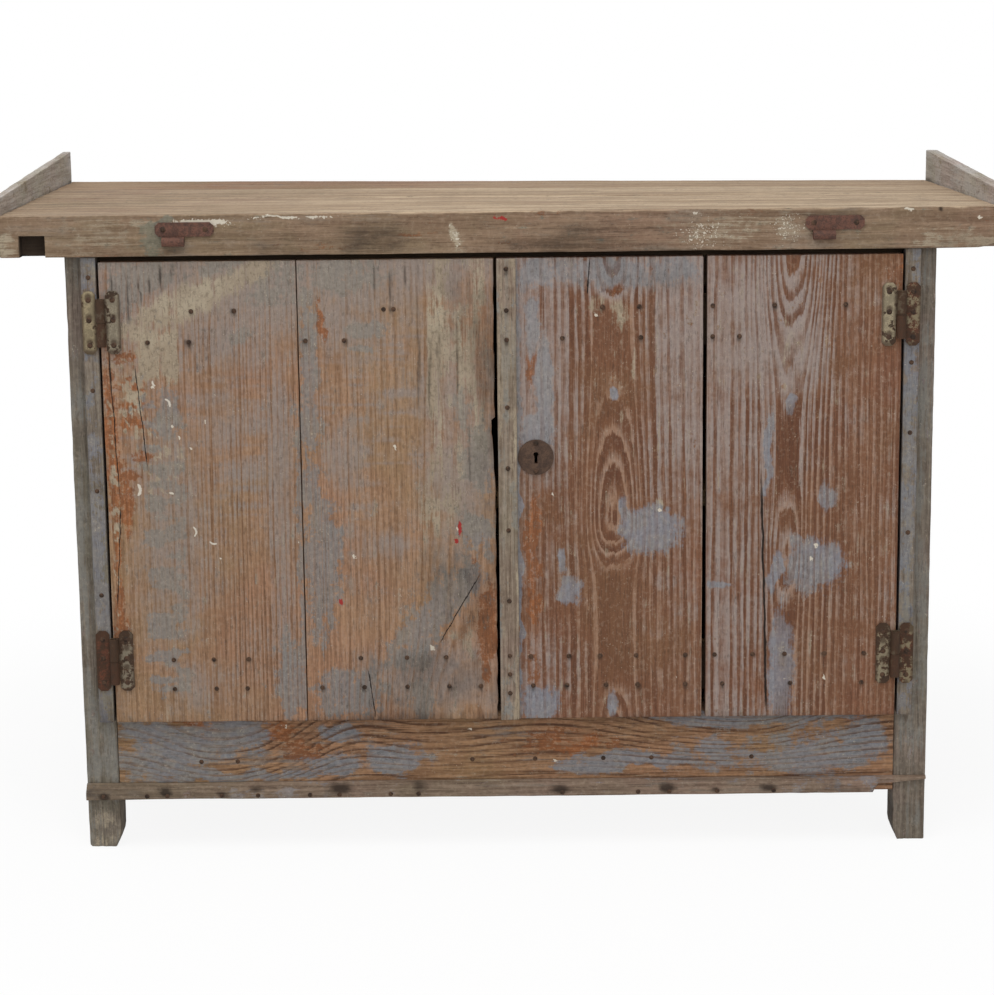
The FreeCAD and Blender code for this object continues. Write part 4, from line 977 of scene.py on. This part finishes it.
# Right door: two boards on ledges, a shrinkage crack between them, and the strip that covers the meeting line.
# Red-brown pine with bold arched grain; pale paint stays in the hollows between the rings and in a few blue patches.
RUSSET = ((112, 76, 54), (125, 89, 66))
right_pine = worn_pine("russet_door_pine", 2, RUSSET, (94, 60, 42), (136, 120, 112), 0.0, line_depth=0.65,
                       ripe=(0.34, 0.66), hollow=((150, 119, 97), (144, 132, 126)), paint=(123, 125, 132), tear=0.5,
                       splits=(((0.366, 0.192), (0.355, 0.545), 0.0022), ((0.118, 0.785), (0.120, 0.836), 0.0011)))
right_nails = nail_spots("right_door_nails", DOOR_SKIN)
BOARD_PAINT = ((45, 815, 45, 24), (150, 815, 70, 26), (235, 818, 45, 20), (40, 745, 10, 45), (58, 650, 14, 75),
               (50, 600, 22, 30), (205, 458, 42, 36), (166, 478, 8, 30), (92, 374, 18, 22), (78, 418, 7, 18),
               (50, 212, 30, 24), (150, 212, 6, 22), (151, 650, 6, 14), (22, 500, 4, 330))
BOARD_DARK = ((148, 322, 16, 85),)
BOARD_BARE = ((157, 792, 12, 13), (40, 690, 9, 30), (42, 420, 12, 100), (48, 262, 16, 18))
BOARD_PALE = ((215, 493, 8, 12), (130, 770, 12, 12), (158, 757, 12, 16))
BOARD_WHITE = ((68, 510, 2, 3), (216, 487, 3, 3), (238, 247, 2, 2), (130, 757, 2, 3))


def inner_right_coat(points, out, coats):
    """A grey-blue band at the head, blue patches where the scraper missed, orange along the meeting strip."""
    x, y, z = points.T
    front = forward(out)
    flat = ragged(points, (0, 2), 160)
    near = points[:, (0, 2)]
    coats.paint = dabs(flat, BOARD_PAINT) * (1 - 0.2 * (flat[:, 1] > 0.775)) * front
    coats.bare = dabs(flat, BOARD_BARE) * 0.75 * front
    coats.pale = dabs(flat, BOARD_PALE) * 0.8 * front
    coats.white = dabs(near, BOARD_WHITE, 0.8) * front
    side = np.clip((np.abs(flat[:, 0] - 0.150) - 0.028) / 0.04, 0, 1)
    upper = ramp(flat[:, 1], 0.38, 0.25)
    left = 0.22 * ramp(flat[:, 0], 0.12, -0.05)
    head = 0.9 * ramp(flat[:, 1], 0.770, 0.03)
    coats.veil = np.maximum(np.maximum(0.70 * side * upper, left), head) * front
    coats.warm = (0.05 + 0.85 * bell(x, 0.150, 0.042)) * front
    coats.grime = (0.14 * lumps(points, 0.06, 161) + nail_stain(points, right_nails) + 0.20 * head * front
                   + 0.13 * dabs(flat, BOARD_DARK) * front
                   + foot_dirt(z))


OUTER_RIGHT_PAINT = ((428, 408, 40, 42), (386, 258, 20, 85), (375, 400, 10, 30), (300, 380, 16, 7), (394, 632, 10, 12),
                     (447, 500, 12, 20), (365, 560, 6, 60))
OUTER_RIGHT_WHITE = ((432, 434, 3, 3), (425, 415, 3, 4), (445, 246, 2, 3), (390, 246, 2, 2))
OUTER_RIGHT_PALE = ((445, 405, 12, 14), (405, 715, 20, 30))
OUTER_RIGHT_SWIRL = ((410, 715, 50, 105),)
OUTER_RIGHT_VEIL = ((350, 705, 55, 75), (405, 720, 45, 80), (330, 780, 50, 60))


def outer_right_coat(points, out, coats):
    """A lilac veil of paint on the crack side, red-brown by the hinges, a blue patch on the eye of the grain."""
    x, y, z = points.T
    front = forward(out)
    flat = ragged(points, (0, 2), 170)
    near = points[:, (0, 2)]
    coats.paint = dabs(flat, OUTER_RIGHT_PAINT) * front
    coats.pale = dabs(flat, OUTER_RIGHT_PALE, 1.2) * 0.55 * front
    coats.white = dabs(near, OUTER_RIGHT_WHITE, 0.8) * front
    veil = 0.56 * ramp(flat[:, 0], 0.43, -0.09) + 0.3 * ramp(flat[:, 1], 0.55, 0.2)
    veil = np.maximum(np.clip(veil, 0, 0.65), dabs(flat, OUTER_RIGHT_VEIL, 1.5))
    coats.veil = veil * ramp(x, 0.50, -0.05) * front
    warm = (0.2 + 0.7 * bell(x, 0.415, 0.045)) * (z < 0.64)
    coats.warm = np.maximum(warm, 0.6 * dabs(flat, OUTER_RIGHT_SWIRL, 1.5)) * front
    coats.bare = ramp(x, 0.515, 0.03) * ramp(z, 0.62, 0.2) * 0.5 * front
    coats.grime = (0.14 * lumps(points, 0.06, 171) + nail_stain(points, right_nails)
                   + foot_dirt(z))


KEY = (0.0461, 0.5661)
KEY_ROUND = 0.0042
KEY_SLOT_HALF = 0.0026
KEY_DROP = 0.0135


def keyed(x, y, z):
    """The cells that the keyhole takes."""
    round_top = np.hypot(x - KEY[0], z - KEY[1]) < KEY_ROUND
    slot = (np.abs(x - KEY[0]) < KEY_SLOT_HALF) & (z < KEY[1]) & (z > KEY[1] - KEY_DROP)
    return round_top | slot


key_lines = (np.linspace(KEY[0] - KEY_ROUND, KEY[0] + KEY_ROUND, 9), (),
             np.linspace(KEY[1] - KEY_DROP, KEY[1] + KEY_ROUND, 14))
timber("right_door_inner_board", "right_door", right_pine, 2, 1, (0.150, -0.2796), 0.0098, step=0.003, worn=0.0012,
       gone=keyed, cuts=key_lines, coat=inner_right_coat, seed=162, sway=0.5, plain=0.020,
       crown=(0.725, 12.64), eyes=((0.470, (0.140, 0.050), 3.4, 0.034), (0.180, 0.050, 1.8, 0.020),
                                   (0.835, 0.050, 2.2, 0.024)))
timber("right_door_outer_board", "right_door", right_pine, 2, 1, (0.392, -0.2806), 0.0092, step=0.003, worn=0.0012,
       coat=outer_right_coat, seed=172, sway=0.9, plain=0.012, crown=(0.575, 10.75),
       eyes=((0.430, 0.060, 2.4, 0.016), (0.845, (0.150, 0.130), 4.4, 0.040)))


def strip_face(points, out, coats):
    """Pale grey wear all over the meeting strip, with rust round its nails."""
    coats.pale = np.clip(lumps(points, (0.01, 0.02, 0.07), 175) - 0.35, 0, 1) * 1.5
    coats.paint = np.clip(lumps(points, (0.012, 0.02, 0.05), 176) - 0.5, 0, 1) * 1.8
    coats.grime = 0.18 * lumps(points, 0.04, 177) + 0.9 * nail_stain(points, right_nails)


strip_finish = worn_pine("grey_strip_pine", 2, ((120, 105, 91), (136, 122, 107)), (86, 68, 52), (132, 125, 114), 0.2,
                         line_depth=0.7, paint=(120, 118, 115))
timber("meeting_strip", "right_door", strip_finish, 2, 1, (0.06, -0.25), 0.004, step=0.003, worn=0.0018, dent=0.0007,
       coat=strip_face, seed=178, drift=5.0)
for end, heart in (("upper", 0.66), ("lower", 0.34)):
    timber("right_door_%s_ledge" % end, "right_door", dry_pine[0], 0, 1, (heart, -0.22), 0.005, step=0.008, coat=dusty_and_shaded_ledge,
           seed=180)


# Hinges: two pairs of cast lift-off hinges screwed on the faces of the battens and doors, and two old hinge halves
# left on the top's front edge from a flap. Iron under worn cream paint, rusted through round the screws.
HINGE_ASIDE = 0.543
HINGE_MIDDLE = 0.513
HINGE_ABOVE = 0.245
LEAF_FRONT = -0.2905
LEAF_CENTRE = 0.0163
LEAF_HALF_WIDE = 0.0095
LEAF_HALF_TALL = 0.043
LEAF_SCREWS = (-0.031, 0.0034, 0.031)


def old_iron(name, rust, dark, cream=None, keeps=(0.0, 0.0, 0.0, 0.0)):
    """Iron rusted in two browns by noise, with flakes of old paint where the noise and the place allow: the share kept
    is blended between the four corners of the front (upper left, lower left, upper right, lower right), and the
    knuckles that stand forward have lost nearly all of it. Dark brown along the leaves' edges is painted shade with
    dirt, and brown dirt lies round the three screws of each."""
    material, start, place = blank(name)
    x, y, z = place.parts("XYZ")
    crust = start.grain(place, 160.0, 6.0, 0.7)
    pits = start.grain(place, 700.0, 3.0)
    broad = start.grain(place, 70.0, 3.0)
    body = (crust * 0.8 + broad * 0.4).rise(-0.9, 0.7).over(tone(dark), tone(rust))
    body = (pits.rise(0.2, 0.9) * 0.6).over(body, tone(dark, 0.6))
    height = crust * 0.12 + pits * 0.05
    rough = 0.75 + crust * 0.08
    if cream is not None:
        aside, above = x / HINGE_ASIDE, (z - HINGE_MIDDLE) / HINGE_ABOVE
        upper_left, lower_left, upper_right, lower_right = keeps
        lean_x = (upper_right + lower_right - upper_left - lower_left) / 4
        lean_z = (upper_left + upper_right - lower_left - lower_right) / 4
        lean_both = (upper_right + lower_left - upper_left - lower_right) / 4
        keep = sum(keeps) / 4 + aside * lean_x + above * lean_z + aside * above * lean_both
        hold = broad * 0.5 + crust * 0.45 + pits * 0.15 + keep - (LEAF_FRONT - y).rise(0.0, 0.002) * 0.7
        flakes = hold.rise(-0.12, 0.2)
        paint = (broad * 0.6 + crust * 0.6).rise(-0.5, 0.6).over(tone(cream), tone(cream, 0.80))
        paint = (pits.rise(0.1, 0.9) * 0.5).over(paint, tone(cream, 0.62))
        body = (flakes * 0.92).over(body, paint)
        # Dark brown along each leaf's edges is painted shade mixed with dirt; round the screws it is dirt.
        across = abs(abs(x) - HINGE_ASIDE) - LEAF_CENTRE
        along = z - HINGE_MIDDLE
        along = along - along.math("SIGN", along) * HINGE_ABOVE
        edge = across.math("MINIMUM", LEAF_HALF_WIDE - abs(across), LEAF_HALF_TALL - abs(along))
        soil = (1.0 - (edge + crust * 0.0012).rise(0.0, 0.0050)) * 0.75
        for share in LEAF_SCREWS:
            far = across.far(along - share)
            soil = soil.math("MAXIMUM", soil, (1.0 - (far + crust * 0.001).rise(0.0025, 0.0070)) * 0.75)
        body = soil.over(body, tone((60, 43, 30)))
        height = height + flakes * 0.5
        rough = rough - flakes * 0.12
    return surface(material, body, rough, height, 0.6, 0.0006, 0.22)


def iron_dress(node, finish):
    """Gives a CAD node its finish."""
    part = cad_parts[node]
    part.data.materials.clear()
    part.data.materials.append(finish)


iron_dress("frame_hinge_leaves", old_iron("batten_leaf_iron", (96, 58, 42), (60, 42, 30), (156, 142, 112),
                                          (0.55, -1.2, -0.15, -0.15)))
iron_dress("left_door_hinge_leaves", old_iron("left_leaf_iron", (90, 64, 47), (52, 41, 31), (152, 141, 120),
                                              (0.35, -0.05, 0.35, -0.05)))
iron_dress("right_door_hinge_leaves", old_iron("right_leaf_iron", (90, 64, 47), (54, 40, 29), (162, 149, 122),
                                               (0.50, 0.00, 0.50, 0.00)))
iron_dress("flap_hinge_halves", old_iron("flap_iron", (104, 72, 60), (78, 56, 48)))
iron_dress("hinge_pins", old_iron("pin_iron", (84, 62, 44), (56, 44, 33)))


# Lock and bolt: a round key plate nailed over the keyhole, a rim lock behind it, and a slide bolt inside the left door.
# Dark iron, rubbed and lightly rusted.
iron_dress("key_plate", old_iron("key_plate_iron", (88, 68, 55), (66, 50, 41)))
for node in ("lock_case", "lock_bolt", "left_door_bolt_plate", "left_door_bolt"):
    iron_dress(node, old_iron(node + "_iron", (84, 66, 54), (52, 42, 35)))


# Nails and screws: cut nails through the boards into the ledges, posts and rails, and slotted screws in the hinges.
# Iron, rusted dark brown.
nail_iron = old_iron("nail_rust", (84, 62, 47), (46, 34, 26))
for node in ("carcass_nails", "carcass_screws", "left_door_nails", "left_door_screws", "right_door_nails",
             "right_door_screws"):
    iron_dress(node, nail_iron)


# Studio: a white floor and backdrop, soft lamps and the camera at the photograph's place.
# The floor shows white to the camera but takes the cupboard's shadow.
FLOOR_HALF = 40.0
floor_mesh = bpy.data.meshes.new("studio_floor")
floor_mesh.from_pydata([(-FLOOR_HALF, -FLOOR_HALF, 0), (FLOOR_HALF, -FLOOR_HALF, 0), (FLOOR_HALF, FLOOR_HALF, 0),
                        (-FLOOR_HALF, FLOOR_HALF, 0)], [], [(0, 1, 2, 3)])
studio_floor = bpy.data.objects.new("studio_floor", floor_mesh)
bpy.context.scene.collection.objects.link(studio_floor)


def seen_white(start):
    """1 for rays from the camera, from glossy things and through glass, else 0."""
    rays = [start.node("ShaderNodeLightPath", {}, {}, ray) for ray in ("Is Camera Ray", "Is Glossy Ray",
                                                                      "Is Transmission Ray")]
    total = rays[0] + rays[1] + rays[2]
    return total.math("MINIMUM", total, 1.0)


SHADOW_SHARE = 0.10
SHADOW_NEAR = 0.75
SHADOW_FAR = 1.6
floor_finish = bpy.data.materials.new("white_floor")
floor_finish.use_nodes = True
tree = floor_finish.node_tree
tree.nodes.clear()
start = Wire(tree)
matt = start.node("ShaderNodeBsdfDiffuse", {}, {"Color": (0.96, 0.96, 0.96, 1.0)})
glow = start.node("ShaderNodeEmission", {}, {"Color": (1.0, 1.0, 1.0, 1.0), "Strength": 1.0})
spot = start.node("ShaderNodeTexCoord", {}, {}, "Object")
away = start.node("ShaderNodeVectorMath", {"operation": "LENGTH"}, {0: spot}, "Value")
shaded = SHADOW_SHARE * (1.0 - away.rise(SHADOW_NEAR, SHADOW_FAR))
mixed = start.node("ShaderNodeMixShader", {}, {0: seen_white(start) * (1.0 - shaded), 1: matt, 2: glow})
sheet = tree.nodes.new("ShaderNodeOutputMaterial")
tree.links.new(mixed.socket, sheet.inputs["Surface"])
floor_mesh.materials.append(floor_finish)

SKY_LEVEL = 0.48
world = bpy.data.worlds.new("studio")
world.use_nodes = True
bpy.context.scene.world = world
tree = world.node_tree
tree.nodes.clear()
start = Wire(tree)
plain = start.node("ShaderNodeBackground", {}, {"Color": (1.0, 1.0, 1.0, 1.0), "Strength": SKY_LEVEL})
clear = start.node("ShaderNodeBackground", {}, {"Color": (1.0, 1.0, 1.0, 1.0), "Strength": 1.0})
mixed = start.node("ShaderNodeMixShader", {}, {0: seen_white(start), 1: plain, 2: clear})
sheet = tree.nodes.new("ShaderNodeOutputWorld")
tree.links.new(mixed.socket, sheet.inputs["Surface"])


def soft_lamp(name, place, aim, size, power):
    """A square lamp turned to face a point."""
    lamp = bpy.data.lights.new(name, "AREA")
    lamp.size = size
    lamp.energy = power
    holder = bpy.data.objects.new(name, lamp)
    away = np.array(place, float) - np.array(aim, float)
    away /= np.linalg.norm(away)
    side = np.cross((0.0, 0.0, 1.0), away)
    side /= np.linalg.norm(side)
    up = np.cross(away, side)
    turn = np.eye(4)
    turn[:3] = np.stack([side, up, away, place], axis=1)
    holder.matrix_world = Matrix(turn.tolist())
    bpy.context.scene.collection.objects.link(holder)


soft_lamp("overhead", (-0.6, -1.6, 3.6), (0.0, 0.0, 0.6), 2.4, 72.0)
soft_lamp("front_fill", (1.6, -4.2, 2.2), (0.0, 0.0, 0.5), 2.0, 40.0)

CAMERA_PLACE = np.array((0.00836, -3.66625, 1.16778))
CAMERA_YAW = -0.00484
CAMERA_PITCH = 0.19336
CAMERA_ROLL = 0.0114
FOCAL_SHARE = 2500.35 / 994
SENSOR = 36.0
ahead = np.array((math.sin(CAMERA_YAW) * math.cos(CAMERA_PITCH), math.cos(CAMERA_YAW) * math.cos(CAMERA_PITCH),
                  -math.sin(CAMERA_PITCH)))
level = np.array((math.cos(CAMERA_YAW), -math.sin(CAMERA_YAW), 0.0))
under = np.cross(ahead, level)
right = math.cos(CAMERA_ROLL) * level + math.sin(CAMERA_ROLL) * under
down = -math.sin(CAMERA_ROLL) * level + math.cos(CAMERA_ROLL) * under
eye = bpy.data.cameras.new("studio_camera")
eye.sensor_fit = "HORIZONTAL"
eye.sensor_width = SENSOR
eye.lens = FOCAL_SHARE * SENSOR
eye.clip_end = 200.0
camera = bpy.data.objects.new("studio_camera", eye)
turn = np.eye(4)
turn[:3] = np.stack([right, -down, -ahead, CAMERA_PLACE], axis=1)
camera.matrix_world = Matrix(turn.tolist())
bpy.context.scene.collection.objects.link(camera)
bpy.context.scene.camera = camera
bpy.context.scene.view_settings.view_transform = "Standard"
